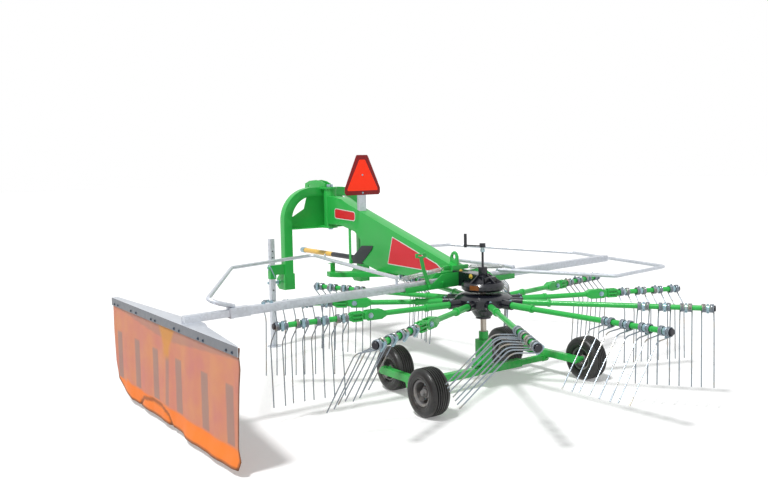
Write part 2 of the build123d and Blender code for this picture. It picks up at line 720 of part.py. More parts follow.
def curtain_rail():
    """Tapered top plate with a flange along the curtain, cheeks for the slide tube and a strut behind."""
    y = CURTAIN_Y
    top = RAIL_TOP
    body = level_plate([
        (RAIL_REAR_X, y), (RAIL_REAR_X + 25, y - 14), (60, 2340), (200, 2300), (400, 2300), (536, 2325),
        (RAIL_FRONT_X, y - 50), (RAIL_FRONT_X, y),
    ], top - RAIL_T, top)
    body += box(RAIL_REAR_X, RAIL_FRONT_X, y - RAIL_T, y, top - RAIL_FLANGE, top)
    half = SLIDE_TUBE / 2
    for side in (-1, 1):
        face = GUARD_X + side * half
        body += box(face, face + side * CHEEK, 2305, SLIDE_END_Y, top - 1, top + 40)
    back = y - RAIL_T - CURTAIN_T - 3 * SEAT_GAP
    strut = [(470, top - RAIL_T), (870, top - RAIL_T), (760, 560), (700, 150), (650, 150), (600, 500)]
    return body + side_plate(strut, back - RAIL_T, back)


def curtain_cloth():
    """Hanging cloth behind the rail's flange, its front corner cut away."""
    outside = CURTAIN_Y - RAIL_T - SEAT_GAP
    return side_plate([
        (CURTAIN_REAR_X, CURTAIN_BOTTOM), (1374, CURTAIN_BOTTOM), (1560, 84), (1720, 150), (1768, 290),
        (1790, 560), (1805, CURTAIN_TOP), (CURTAIN_REAR_X, CURTAIN_TOP),
    ], outside - CURTAIN_T, outside)


# Headstock with its stand
def headstock_frame():
    y = HEAD_LEG_Y
    half = HEAD_TUBE / 2
    path = FilletPolyline((HEAD_X, -y, HEAD_BOTTOM_Z), (HEAD_X, -y, HEAD_TOP_Z), (HEAD_X, y, HEAD_TOP_Z),
                          (HEAD_X, y, HEAD_BOTTOM_Z), radius=HEAD_BEND_R)
    section = Plane(origin=path @ 0, z_dir=path % 0) * Rectangle(HEAD_TUBE, HEAD_TUBE)
    body = sweep(section, path=path)
    low = LUG_LOW_TOP - LUG_PLATE
    gusset = [
        (-y + half - 5, low), (y - half + 5, low), (y - half + 5, low + 110), (250, 1400), (200, HEAD_TOP_Z),
        (-200, HEAD_TOP_Z), (-250, 1400), (-y + half - 5, low + 110),
    ]
    body += cross_plate(gusset, HEAD_X - 12, HEAD_X)
    body += box(HEAD_X - 70, HEAD_X, -y + half - 5, y - half + 5, low, low + 10)
    r = SWIVEL_LUG_R
    lug = [(SWIVEL_X, -r), (HEAD_X, -r), (HEAD_X, r), (SWIVEL_X, r)]
    for z in (low, LUG_HIGH_BOTTOM):
        body += level_plate(lug, z, z + LUG_PLATE)
        body += rod((SWIVEL_X, 0, z), (SWIVEL_X, 0, z + LUG_PLATE), r)
    for side in (-1, 1):
        for face in (y - half - LINK_PLATE, y + half):
            body += side_plate(link_plate_outline(), side * face, side * (face + LINK_PLATE))
    body -= rod((SWIVEL_X, 0, low - 1), (SWIVEL_X, 0, LUG_HIGH_BOTTOM + 60), SWIVEL_PIN_R + SEAT_GAP)
    body -= rod((LINK_PIN_X, -600, LINK_PIN_Z), (LINK_PIN_X, 600, LINK_PIN_Z), LINK_SHANK_R + SEAT_GAP)
    return body


def top_link_ears():
    """Pair of plates over the arch that reach forward to the top link's pin."""
    low = LUG_HIGH_BOTTOM + LUG_PLATE
    face = HEAD_X + HEAD_TUBE / 2
    ear = [
        (2514, low), (2520, 1656), (HEAD_X, 1681), (2710, 1694), (2850, 1684), (2950, 1655), (2960, 1610),
        (2880, 1575), (face, 1560), (face, low),
    ]
    gap = TOP_LINK_GAP / 2
    bore = rod((TOP_LINK_X, -80, TOP_LINK_Z), (TOP_LINK_X, 80, TOP_LINK_Z), TOP_LINK_BORE_R)
    plate = side_plate(ear, gap, gap + TOP_LINK_PLATE) - bore
    return [plate, mirrored(plate)]


def link_plate_outline():
    return [
        (HEAD_X - 50, HEAD_BOTTOM_Z), (HEAD_X + 90, HEAD_BOTTOM_Z), (LINK_PIN_X + 36, 610),
        (LINK_PIN_X + 36, 680), (HEAD_X + 60, 740), (HEAD_X - 50, 740),
    ]


def swivel_pin():
    top = LUG_HIGH_BOTTOM + LUG_PLATE
    pin = rod((SWIVEL_X, 0, LUG_LOW_TOP - LUG_PLATE - 18), (SWIVEL_X, 0, top + SWIVEL_HEAD), SWIVEL_PIN_R)
    return pin + rod((SWIVEL_X, 0, top), (SWIVEL_X, 0, top + SWIVEL_HEAD), SWIVEL_PIN_R + 8)


def link_pins():
    """Shouldered hitch pins: head inside the leg, collar and free end outside."""
    inner = HEAD_LEG_Y - HEAD_TUBE / 2 - LINK_PLATE - SEAT_GAP
    outer = HEAD_LEG_Y + HEAD_TUBE / 2 + LINK_PLATE + SEAT_GAP
    collar = outer + LINK_COLLAR

    def stretch(y0, y1, radius):
        return rod((LINK_PIN_X, y0, LINK_PIN_Z), (LINK_PIN_X, y1, LINK_PIN_Z), radius)

    pin = stretch(inner - 14, collar, LINK_SHANK_R) + stretch(inner - 14, inner, LINK_COLLAR_R)
    pin += stretch(outer, collar, LINK_COLLAR_R) + stretch(collar, collar + LINK_PIN_FREE, LINK_PIN_R)
    return [pin, mirrored(pin)]


def stand_sleeve():
    inner = STAND_W / 2 + SEAT_GAP
    outer = inner + STAND_SLEEVE_WALL
    low = STAND_SLEEVE_LOW
    high = STAND_SLEEVE_HIGH
    leg_face = HEAD_LEG_Y + HEAD_TUBE / 2
    body = box(STAND_X - outer, STAND_X + outer, STAND_Y - outer, STAND_Y + outer, low, high)
    body += box(STAND_X - 30, STAND_X + 30, leg_face, STAND_Y - outer + 1, low + 40, high)
    return body - box(STAND_X - inner, STAND_X + inner, STAND_Y - inner, STAND_Y + inner, low - 1, high + 1)


def stand_leg():
    half = STAND_W / 2
    body = box(STAND_X - half, STAND_X + half, STAND_Y - half, STAND_Y + half, STAND_FOOT_T, STAND_TOP)
    for k in range(4):
        z = STAND_TOP - 60 - k * 60
        body -= rod((STAND_X, STAND_Y - half - 1, z), (STAND_X, STAND_Y + half + 1, z), STAND_HOLE_R)
    return body


def stand_foot():
    return rod((STAND_X, STAND_Y, 0), (STAND_X, STAND_Y, STAND_FOOT_T), STAND_FOOT_R)


def all_nodes():
    nodes = {
        "boom": boom(),
        "column": rod((0, 0, COLUMN_BOTTOM), (0, 0, COVER_BOTTOM), COLUMN_R),
        "gear_cover": gear_cover(),
        "gearbox": gearbox(),
        "height_crank": crank(),
        "sign_post": sign_post(),
        "warning_triangle": warning_triangle(),
        "shaft_cowl": shaft_cowl(),
        "shaft_hanger": shaft_hanger(),
        "guard_rests": [guard_rest(), mirrored(guard_rest())],
        "latch_lever": at_guard(latch_lever(), "left"),
        "left_guard_hoop": left_hoop(),
        "right_guard_hoop": right_hoop(),
        "curtain_slide_tube": curtain_slide(),
        "curtain_rail": curtain_rail(),
        "swath_curtain": curtain_cloth(),
        "headstock_frame": headstock_frame(),
        "top_link_ears": top_link_ears(),
        "swivel_pin": swivel_pin(),
        "lower_link_pins": link_pins(),
        "stand_sleeve": stand_sleeve(),
        "stand_leg": stand_leg(),
        "stand_foot": stand_foot(),
        "pedestal": pedestal(),
        "cross_axle": cross_axle(),
        "bogie_beam_left": bogie(),
        "bogie_beam_right": mirrored(bogie()),
    }
    nodes["drive_shaft_tube"], nodes["drive_shaft_guard"], nodes["drive_shaft_yoke"] = drive_shaft()
    for side, end in (("left", LEFT_BEAM_END), ("right", RIGHT_BEAM_END)):
        nodes[f"guard_bracket_{side}"] = beside_boom(guard_bracket(side))
        nodes[f"guard_spring_{side}"] = at_guard(guard_spring(), side)
        nodes[f"{side}_guard_beam"] = guard_beam(side, end)
        nodes[f"{side}_guard_hoop"] -= at_guard(beam_outside(end), side)
    nodes["spring_lugs"] = [beside_boom(at_guard(spring_lug(), side)) for side in ("left", "right")]
    nodes.update(rotor_nodes())
    nodes.update(wheel_nodes())
    return nodes


def write_nodes(nodes):
    os.makedirs("parts", exist_ok=True)
    place = Location((ROTOR_X, ROTOR_Y, 0))
    for name, shape in nodes.items():
        solids = shape if isinstance(shape, list) else [shape]
        moved = [one.moved(place) for solid in solids for one in solid.solids()]
        whole = moved[0] if len(moved) == 1 else Compound(moved)
        whole.label = name
        export_step(whole, f"parts/{name}.step")


write_nodes(all_nodes())
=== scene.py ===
"""Looks of a rotary rake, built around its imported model. Metres, in the part's own frame."""
import math

import bmesh
import bpy
from mathutils import Matrix, Vector


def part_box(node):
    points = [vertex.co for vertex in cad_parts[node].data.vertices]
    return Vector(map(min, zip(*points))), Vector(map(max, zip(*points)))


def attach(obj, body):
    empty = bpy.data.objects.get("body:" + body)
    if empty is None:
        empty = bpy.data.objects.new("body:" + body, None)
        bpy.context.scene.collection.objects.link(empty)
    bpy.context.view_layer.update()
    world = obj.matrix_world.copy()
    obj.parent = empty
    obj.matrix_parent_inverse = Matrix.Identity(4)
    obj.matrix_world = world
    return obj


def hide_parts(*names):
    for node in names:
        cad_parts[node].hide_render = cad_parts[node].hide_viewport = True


bl_info = {
    "name": "Rotary Rake Looks",
    "version": (1, 0, 0),
    "blender": (4, 5, 0),
    "location": "3D View > Sidebar > Rotary Rake",
    "description": "Builds the visible pieces, finishes and stage of a rotary rake around its packed model",
    "category": "Add Mesh",
}

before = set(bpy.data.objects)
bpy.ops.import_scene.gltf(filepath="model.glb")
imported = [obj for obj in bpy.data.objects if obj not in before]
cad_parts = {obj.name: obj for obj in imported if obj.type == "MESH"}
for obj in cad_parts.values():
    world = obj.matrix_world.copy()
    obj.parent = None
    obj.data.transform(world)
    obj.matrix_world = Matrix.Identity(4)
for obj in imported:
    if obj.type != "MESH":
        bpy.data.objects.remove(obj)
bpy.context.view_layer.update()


def middle(node):
    low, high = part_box(node)
    return (low + high) / 2


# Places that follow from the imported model
ROTOR = Vector((middle("column").x, middle("column").y, 0))
ARM_Z = middle("arm_stubs").z

# The arms of the rotor: name, and cam angle in degrees about the arm's own axis
CAM_ANGLE = {
    "a": -4, "b": 0, "c": 16, "d": 38, "e": 46, "f": 29, "g": -3, "h": -6, "j": -4, "k": -4, "l": -4,
}
FIRST_ARM_AZIMUTH = 281.6
FOLDING_ARMS = "ablfgh"
ARM_NODE = {
    name: ("folding" if name in FOLDING_ARMS else "rigid") + f"_tine_arm_{name}" for name in CAM_ANGLE}
ARM_BODY = {name: f"tine_arm_{name}" if name in FOLDING_ARMS else "rotor" for name in CAM_ANGLE}
# Radius of the arms' tubes, and how far out the fold hinges lie
TUBE_RADIUS = 0.021
HINGE_RADIUS = 1.06

# Camera of the photograph's viewpoint, from the rotor's axis
CAMERA_PLACE = (-5.36243, 4.48742, 1.88481)
CAMERA_YAW = -37.172
CAMERA_PITCH = -4.168
CAMERA_ROLL = -0.879
CAMERA_LENS = 40.045
CAMERA_SHIFT = (-0.07456, -0.03594)

# Suns: name, place from the rotor's axis, strength, spread in degrees
SUNS = (("key", (-1.2, 4.6, 9.5), 2.7, 8), ("fill", (-9.0, 3.0, 4.0), 0.3, 60))
# Half of the floor's width, its own glow where it is seen, and the world's light on the object
FLOOR_REACH = 60.0
FLOOR_GLOW = 0.22
AMBIENT = 0.34


def at(x, y, z=0.0):
    """Point given from the rotor's axis on the ground."""
    return ROTOR + Vector((x, y, z))


# Sizes and colours that a user would change
class RakeFinish(bpy.types.PropertyGroup):
    """Colours of the rake's paints, metals and cloth."""

    green: bpy.props.FloatVectorProperty(
        name="Green paint", description="Colour of the painted steelwork", subtype="COLOR",
        default=(0.025, 0.44, 0.07), min=0, max=1)
    galvanised: bpy.props.FloatVectorProperty(
        name="Galvanised steel", description="Colour of the guards' tubes", subtype="COLOR",
        default=(0.58, 0.61, 0.66), min=0, max=1)
    zinc: bpy.props.FloatVectorProperty(
        name="Zinc plate", description="Colour of the clamps and bolts", subtype="COLOR",
        default=(0.3, 0.44, 0.5), min=0, max=1)
    cloth: bpy.props.FloatVectorProperty(
        name="Curtain cloth", description="Colour of the curtain's upper part", subtype="COLOR",
        default=(0.62, 0.245, 0.11), min=0, max=1)
    cloth_hem: bpy.props.FloatVectorProperty(
        name="Curtain hem", description="Colour of the curtain's lower band", subtype="COLOR",
        default=(0.85, 0.2, 0.014), min=0, max=1)


class RakeTines(bpy.types.PropertyGroup):
    """Sizes of the double spring tines."""

    wire: bpy.props.FloatProperty(
        name="Wire radius", description="Half of the tine wire's diameter", default=0.0047,
        min=0.003, max=0.007, unit="LENGTH")
    coil: bpy.props.FloatProperty(
        name="Coil radius", description="From the arm's axis to the middle of the wire", default=0.0305,
        min=0.027, max=0.034, unit="LENGTH")
    turns: bpy.props.FloatProperty(
        name="Turns", description="Turns in each coil", default=3.1, min=1, max=4)
    per_arm: bpy.props.IntProperty(
        name="Tines per arm", description="Double tines on each arm", default=4, min=1, max=6)
    first: bpy.props.FloatProperty(
        name="First place", description="Radius of the innermost double tine", default=1.29, unit="LENGTH")
    pitch: bpy.props.FloatProperty(
        name="Spacing", description="Distance from one double tine to the next", default=0.16, unit="LENGTH")
    bend_out: bpy.props.FloatProperty(
        name="Trail", description="How far the bend trails behind the arm", default=0.1, unit="LENGTH")
    bend_drop: bpy.props.FloatProperty(
        name="Bend drop", description="How far the bend lies below the arm", default=0.132, unit="LENGTH")
    drop: bpy.props.FloatProperty(
        name="Reach", description="From the arm's axis to the tine's point", default=0.6, unit="LENGTH")


class RakeCurtain(bpy.types.PropertyGroup):
    """Shape of the swath curtain."""

    wave: bpy.props.FloatProperty(
        name="Wave", description="How far the cloth bulges between its stiffeners", default=0.008,
        min=0, max=0.05, unit="LENGTH")
    band: bpy.props.FloatProperty(
        name="Band", description="Height of the bright lower band", default=0.12, unit="LENGTH")


class RakeWheels(bpy.types.PropertyGroup):
    """Detail of the tyres."""

    ribs: bpy.props.IntProperty(
        name="Ribs", description="Ribs round the tread", default=6, min=3, max=8)
    groove: bpy.props.FloatProperty(
        name="Groove depth", description="Depth of the grooves between the ribs", default=0.012,
        unit="LENGTH")


# Node helpers
def add_node(tree, kind, *sources, settings=None, **values):
    """New node, its inputs given in order or by name. A socket is linked, any other value is set."""
    made = tree.nodes.new(kind)
    for name, value in (settings or {}).items():
        setattr(made, name, value)
    named = [(name.replace("_", " "), value) for name, value in values.items()]
    for key, value in [*enumerate(sources), *named]:
        if isinstance(value, bpy.types.NodeSocket):
            tree.links.new(value, made.inputs[key])
        else:
            made.inputs[key].default_value = value
    return made


def calc(tree, operation, *sources, clamp=False):
    settings = {"operation": operation, "use_clamp": clamp}
    return add_node(tree, "ShaderNodeMath", *sources, settings=settings).outputs[0]


def scaled(tree, vector, scale):
    settings = {"operation": "SCALE"}
    return add_node(tree, "ShaderNodeVectorMath", vector, settings=settings, Scale=scale).outputs[0]


def remap(tree, source, low, high, to_low=0.0, to_high=1.0):
    return add_node(tree, "ShaderNodeMapRange", source, low, high, to_low, to_high,
                    settings={"clamp": True}).outputs[0]


def noise(tree, place, scale, detail, roughness=0.5):
    return add_node(tree, "ShaderNodeTexNoise", place, Scale=scale, Detail=detail,
                    Roughness=roughness).outputs["Fac"]


def mixed(tree, below, above, share):
    """Colour between two others."""
    return add_node(tree, "ShaderNodeMix", settings={"data_type": "RGBA"}, Factor=share, A=below,
                    B=above).outputs["Result"]


def object_place(tree):
    return tree.nodes.new("ShaderNodeTexCoord").outputs["Object"]


def uv_place(tree):
    return tree.nodes.new("ShaderNodeUVMap").outputs["UV"]


def socket_kind(value):
    """Kind of socket that holds a value. None stands for geometry."""
    if value is None:
        return "NodeSocketGeometry"
    if isinstance(value, tuple):
        return "NodeSocketColor" if len(value) == 4 else "NodeSocketVector"
    return "NodeSocketInt" if isinstance(value, int) else "NodeSocketFloat"


def node_tree(kind, name, inputs, outputs, build):
    """Node tree with named inputs, from a function that makes its outputs from them."""
    tree = bpy.data.node_groups.new(name, kind)
    for label, value in inputs.items():
        socket = tree.interface.new_socket(name=label, in_out="INPUT", socket_type=socket_kind(value))
        if value is not None:
            socket.default_value = value
    for label, value in outputs.items():
        tree.interface.new_socket(name=label, in_out="OUTPUT", socket_type=socket_kind(value))
    given = tree.nodes.new("NodeGroupInput").outputs
    add_node(tree, "NodeGroupOutput", *build(tree, given))
    return tree


# Shared shader effects
def tinted(tree, color, tone, depth):
    """Colour made lighter or darker by a tone about 0.5."""
    return scaled(tree, color, calc(tree, "MULTIPLY_ADD", calc(tree, "SUBTRACT", tone, 0.5), depth, 1.0))


def mottle_nodes(tree, given):
    """Slow change of tone over a surface, with a fine grain for its height."""
    place = object_place(tree)
    tone = noise(tree, place, given["Scale"], 4.0, 0.6)
    grain = noise(tree, place, given["Grain Scale"], 2.0)
    return tinted(tree, given["Color"], tone, given["Depth"]), tone, grain


def dust_nodes(tree, given):
    """Pale dust that thins out upwards and lies in patches."""
    place = object_place(tree)
    height = add_node(tree, "ShaderNodeSeparateXYZ", place).outputs["Z"]
    fade = remap(tree, height, given["Top"], 0.0)
    patches = remap(tree, noise(tree, place, 22.0, 5.0, 0.65), 0.42, 0.72)
    mask = calc(tree, "MULTIPLY", calc(tree, "MULTIPLY", fade, patches), given["Amount"], clamp=True)
    return mixed(tree, given["Color"], given["Dust Color"], mask), mask


def spangle_nodes(tree, given):
    """Zinc crystals: flat patches of slightly different brightness."""
    cells = add_node(tree, "ShaderNodeTexVoronoi", object_place(tree), settings={"feature": "F1"},
                     Scale=given["Scale"], Randomness=1.0)
    tone = add_node(tree, "ShaderNodeSeparateColor", cells.outputs["Color"]).outputs[0]
    return tinted(tree, given["Color"], tone, given["Contrast"]), tone


def brush_nodes(tree, given):
    """Fine lines along a ground steel surface."""
    stretched = add_node(tree, "ShaderNodeVectorMath", object_place(tree), given["Along"],
                         settings={"operation": "MULTIPLY"}).outputs[0]
    return (noise(tree, stretched, given["Scale"], 3.0, 0.7),)


def weave_nodes(tree, given):
    """Over-and-under threads of a coated cloth, from its UV map."""
    split = add_node(tree, "ShaderNodeSeparateXYZ", scaled(tree, uv_place(tree), given["Threads"])).outputs
    return (calc(tree, "MULTIPLY", calc(tree, "SINE", split["X"]), calc(tree, "SINE", split["Y"])),)


GREY = (0.5, 0.5, 0.5, 1)
# Name: function, inputs and outputs with their defaults
EFFECTS = {
    "Mottle": (mottle_nodes, {"Color": GREY, "Scale": 3.0, "Depth": 0.12, "Grain Scale": 400.0},
               {"Color": GREY, "Tone": 0.0, "Grain": 0.0}),
    "Dust": (dust_nodes, {"Color": GREY, "Dust Color": (0.42, 0.38, 0.31, 1), "Amount": 0.3, "Top": 0.5},
             {"Color": GREY, "Mask": 0.0}),
    "Spangle": (spangle_nodes, {"Color": GREY, "Scale": 60.0, "Contrast": 0.2}, {"Color": GREY, "Tone": 0.0}),
    "Brush": (brush_nodes, {"Along": (1, 1, 40), "Scale": 30.0}, {"Line": 0.0}),
    "Weave": (weave_nodes, {"Threads": 500.0}, {"Height": 0.0}),
}
GROUPS = {}
FINISHES = {}
TREES = {}


def use_group(tree, name, **values):
    return add_node(tree, "ShaderNodeGroup", settings={"node_tree": GROUPS[name]}, **values).outputs


def rgba(color):
    return (*color, 1.0)


# Finishes
def new_finish(name, roughness, metallic=0.0, coat=0.0, **values):
    """Material with a Principled shader. Returns its tree and the shader's inputs."""
    made = bpy.data.materials.new(name)
    made.use_nodes = True
    FINISHES[name] = made
    inputs = made.node_tree.nodes["Principled BSDF"].inputs
    plain = {"Roughness": roughness, "Metallic": metallic, "Coat Weight": coat, "Coat Roughness": 0.1}
    for label, value in {**plain, **values}.items():
        inputs[label.replace("_", " ")].default_value = value
    return made.node_tree, inputs


def cover(tree, inputs, color, height, strength, distance, tone=None, roughness=None):
    """Link a colour, a bump from a height, and a roughness that follows a tone."""
    tree.links.new(color, inputs["Base Color"])
    bump = add_node(tree, "ShaderNodeBump", Strength=strength, Distance=distance, Height=height)
    tree.links.new(bump.outputs["Normal"], inputs["Normal"])
    if roughness:
        tree.links.new(remap(tree, tone, 0.25, 0.75, *roughness), inputs["Roughness"])


def paint(name, color, roughness=(0.25, 0.4), coat=0.25, depth=0.14, dust=0.0, dust_top=0.5,
          grain=(420, 0.05)):
    """Sprayed paint: slow tone change, orange peel, and dust low down."""
    tree, inputs = new_finish(name, roughness[0], coat=coat, Specular_IOR_Level=0.35)
    mottle = use_group(tree, "Mottle", Color=rgba(color), Scale=2.3, Depth=depth, Grain_Scale=grain[0])
    shade = mottle["Color"]
    if dust:
        shade = use_group(tree, "Dust", Color=shade, Amount=dust, Top=dust_top)["Color"]
    cover(tree, inputs, shade, mottle["Grain"], grain[1], 0.001, mottle["Tone"], roughness)


def galvanised(name, color, scale, contrast, roughness):
    """Hot-dip zinc with its crystals."""
    tree, inputs = new_finish(name, roughness[0], metallic=0.55)
    spangle = use_group(tree, "Spangle", Color=rgba(color), Scale=scale, Contrast=contrast)
    mottle = use_group(tree, "Mottle", Color=spangle["Color"], Scale=5.0, Depth=0.2, Grain_Scale=260.0)
    cover(tree, inputs, mottle["Color"], mottle["Grain"], 0.08, 0.001, spangle["Tone"], roughness)


def zinc(name, color, gold, share):
    """Bright zinc plate with patches of its yellow passivation."""
    tree, inputs = new_finish(name, 0.3, metallic=0.7)
    mottle = use_group(tree, "Mottle", Color=rgba(color), Scale=30.0, Depth=0.5, Grain_Scale=700.0)
    mask = remap(tree, noise(tree, object_place(tree), 9.0, 3.0), 0.52, 0.7, 0.0, share)
    shade = mixed(tree, mottle["Color"], rgba(gold), mask)
    cover(tree, inputs, shade, mottle["Grain"], 0.05, 0.0005, mottle["Tone"], (0.22, 0.42))


def ground_steel(name, color, along):
    """Bare steel with the lines of its grinding."""
    tree, inputs = new_finish(name, 0.3, metallic=0.9)
    mottle = use_group(tree, "Mottle", Color=rgba(color), Scale=14.0, Depth=0.5, Grain_Scale=500.0)
    line = use_group(tree, "Brush", Along=along, Scale=30.0)["Line"]
    cover(tree, inputs, mottle["Color"], line, 0.1, 0.0005, line, (0.2, 0.5))


def rubber(name, color):
    """Tyre rubber with a little dust."""
    tree, inputs = new_finish(name, 0.7)
    mottle = use_group(tree, "Mottle", Color=rgba(color), Scale=9.0, Depth=0.5, Grain_Scale=380.0)
    shade = use_group(tree, "Dust", Color=mottle["Color"], Amount=0.1, Top=0.42)["Color"]
    cover(tree, inputs, shade, mottle["Grain"], 0.25, 0.001, mottle["Tone"], (0.3, 0.5))


def plastic(name, color, roughness):
    """Moulded plastic with a fine grain."""
    tree, inputs = new_finish(name, roughness[0])
    mottle = use_group(tree, "Mottle", Color=rgba(color), Scale=6.0, Depth=0.15, Grain_Scale=900.0)
    cover(tree, inputs, mottle["Color"], mottle["Grain"], 0.12, 0.0006, mottle["Tone"], roughness)


def reflector(name, color):
    """Fluorescent reflective sheet: a fine regular cell pattern, and a painted glow of its own colour that
    lifts it above its lit brightness.
    """
    tree, inputs = new_finish(name, 0.5, Emission_Color=rgba(color), Emission_Strength=0.28,
                              Specular_IOR_Level=0.2)
    cells = use_group(tree, "Spangle", Color=rgba(color), Scale=320.0, Contrast=0.1)
    cover(tree, inputs, cells["Color"], cells["Tone"], 0.1, 0.0004)


def curtain_finish(name, upper, lower):
    """Coated cloth: dull above, a bright band below, painted shade of the stiffeners, rail and crease, a
    painted tint of the strut, dark seams, fine weave.
    """
    tree, inputs = new_finish(name, 0.6)
    place = uv_place(tree)
    # Attributes of the cloth's points: band, and seam with painted crease shade; painted shade of stiffeners
    # and rail, and painted strut tint
    marks = []
    for label in ("band", "painted_shade"):
        read = add_node(tree, "ShaderNodeAttribute", settings={"attribute_name": label})
        marks += add_node(tree, "ShaderNodeSeparateColor", read.outputs["Color"]).outputs[:2]
    band, seam_and_crease_shade, stiffener, strut = marks
    tone = noise(tree, place, 2.2, 5.0, 0.6)
    specks = remap(tree, noise(tree, place, 38.0, 4.0, 0.7), 0.66, 0.72)
    faded = rgba([0.92 * upper[0], 0.8 * upper[1] + 0.01, 1.3 * upper[2] + 0.02])
    shade = mixed(tree, rgba(upper), faded, remap(tree, tone, 0.35, 0.65))
    # Painted shade of the stiffeners and the rail, painted tint of the strut, specks, the band, and seams
    # with painted crease shade
    for color, mask, share in (((0.3, 0.2, 0.17), stiffener, 0.8), ((0.62, 0.27, 0.03), strut, 0.85),
                               ((0.24, 0.07, 0.04), specks, 0.5), (lower, band, 1.0),
                               ((0.09, 0.035, 0.01), seam_and_crease_shade, 0.9)):
        shade = mixed(tree, shade, rgba(color), calc(tree, "MULTIPLY", mask, share, clamp=True))
    height = use_group(tree, "Weave", Threads=1100.0)["Height"]
    cover(tree, inputs, shade, height, 0.25, 0.0008, tone, (0.5, 0.75))


class RAKE_OT_finishes(bpy.types.Operator):
    """Make the shader groups, the finishes and the node trees of the repeated fittings"""

    bl_idname = "rake.finishes"
    bl_label = "Make Finishes"

    def execute(self, context):
        look = context.scene.rake_finish
        for name, (build, inputs, outputs) in EFFECTS.items():
            GROUPS[name] = node_tree("ShaderNodeTree", name, inputs, outputs, build)
        paint("green_paint", look.green, coat=0.12, dust=0.3, dust_top=0.32)
        paint("black_paint", (0.006, 0.007, 0.012), (0.2, 0.36), coat=0.35, depth=0.6, grain=(150, 0.12))
        # Rim's grey paint darkened for the dish: painted shade in its recess
        paint("rim_dish_painted_shade", (0.075, 0.074, 0.076), (0.3, 0.5), coat=0.1, dust=0.4, dust_top=0.4)
        paint("orange_label", (0.2, 0.065, 0.012), (0.25, 0.35), coat=0.1, depth=0.7)
        paint("grey_rim_paint", (0.17, 0.17, 0.175), (0.35, 0.5), coat=0.1, dust=0.6, dust_top=0.4)
        paint("dark_red_paint", (0.27, 0.006, 0.008), (0.35, 0.45), coat=0.0)
        paint("decal_red", (0.72, 0.012, 0.028), (0.3, 0.4), coat=0.05, depth=0.08)
        paint("decal_white", (0.75, 0.75, 0.73), (0.3, 0.4), coat=0.05, depth=0.05)
        galvanised("galvanised_steel", look.galvanised, 55.0, 0.16, (0.32, 0.5))
        # Galvanised darkened to about a third: painted shade on the curtain rail's flange
        galvanised("galvanised_painted_shade", [0.36 * c for c in look.galvanised], 40.0, 0.2, (0.5, 0.7))
        zinc("zinc_plate", look.zinc, (0.5, 0.42, 0.24), 0.35)
        # Darker zinc of the flange bolts: painted shade of the flange they sit on
        zinc("dark_zinc_painted_shade", (0.07, 0.1, 0.14), (0.12, 0.1, 0.06), 0.3)
        zinc("spring_steel", (0.5, 0.52, 0.53), (0.45, 0.42, 0.3), 0.4)
        zinc("tine_steel", (0.24, 0.28, 0.32), (0.42, 0.3, 0.15), 0.5)
        ground_steel("bare_steel", (0.42, 0.38, 0.33), (1, 1, 40))
        rubber("tyre_rubber", (0.013, 0.013, 0.0135))
        plastic("yellow_plastic", (0.83, 0.5, 0.1), (0.35, 0.5))
        plastic("black_plastic", (0.012, 0.013, 0.02), (0.3, 0.45))
        plastic("brass_cap", (0.65, 0.48, 0.08), (0.3, 0.4))
        # Red sheet of the sign with a painted glow
        reflector("red_reflector", (1.0, 0.04, 0.012))
        curtain_finish("orange_cloth", look.cloth, look.cloth_hem)
        plastic("stiffener_grey", (0.2, 0.165, 0.19), (0.5, 0.65))
        for name, (build, finish, inputs) in FITTINGS.items():
            TREES[name] = fitting_tree(name, build, FINISHES[finish], inputs)
        return {"FINISHED"}


# Mesh helpers
def new_object(name, data):
    made = bpy.data.objects.new(name, data)
    bpy.context.scene.collection.objects.link(made)
    return made


def to_mesh(name, bm):
    mesh = bpy.data.meshes.new(name)
    bm.to_mesh(mesh)
    bm.free()
    return mesh


def link_piece(name, mesh, finish, body, smooth=35.0, replaced=()):
    """New object from a mesh, with its finish, shading and body."""
    mesh.materials.clear()
    mesh.materials.append(FINISHES[finish])
    for face in mesh.polygons:
        face.use_smooth = True
        face.material_index = 0
    mesh.set_sharp_from_angle(angle=math.radians(smooth))
    piece = new_object(name, mesh)
    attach(piece, body)
    if replaced:
        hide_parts(*replaced)
    return piece


def mesh_piece(name, bm, finish, body, smooth=35.0, replaced=()):
    return link_piece(name, to_mesh(name, bm), finish, body, smooth, replaced)


def add_rings(bm, rings, closed=True):
    """Faces between rings of vertices, each ring to the next. Open rows get a face at each end."""
    for k, here in enumerate(rings if closed else rings[:-1]):
        there = rings[(k + 1) % len(rings)]
        for j in range(len(here)):
            n = (j + 1) % len(here)
            bm.faces.new((here[j], here[n], there[n], there[j]))
    if not closed:
        bm.faces.new(list(reversed(rings[0])))
        bm.faces.new(rings[-1])


def around(count):
    """Angles of evenly spaced places round an axis."""
    return [2 * math.pi * k / count for k in range(count)]


def add_revolved(bm, profile, place, turns=64, closed=True):
    """Revolve (radius, height) points about the Z axis of a matrix. A closed profile is a ring."""
    rings = [[bm.verts.new(place @ Vector((r * math.cos(a), r * math.sin(a), h))) for r, h in profile]
             for a in around(turns)]
    count = len(profile)
    for here, there in zip(rings, rings[1:] + rings[:1]):
        for j in range(count if closed else count - 1):
            n = (j + 1) % count
            bm.faces.new((here[j], there[j], there[n], here[n]))
    if not closed:
        bm.faces.new([ring[0] for ring in reversed(rings)])
        bm.faces.new([ring[-1] for ring in rings])


def add_drum(bm, radius, low, high, place, sides=20):
    """Cylinder, or prism of few sides, about the Z axis of a matrix."""
    add_revolved(bm, [(radius, low), (radius, high)], place, sides, False)


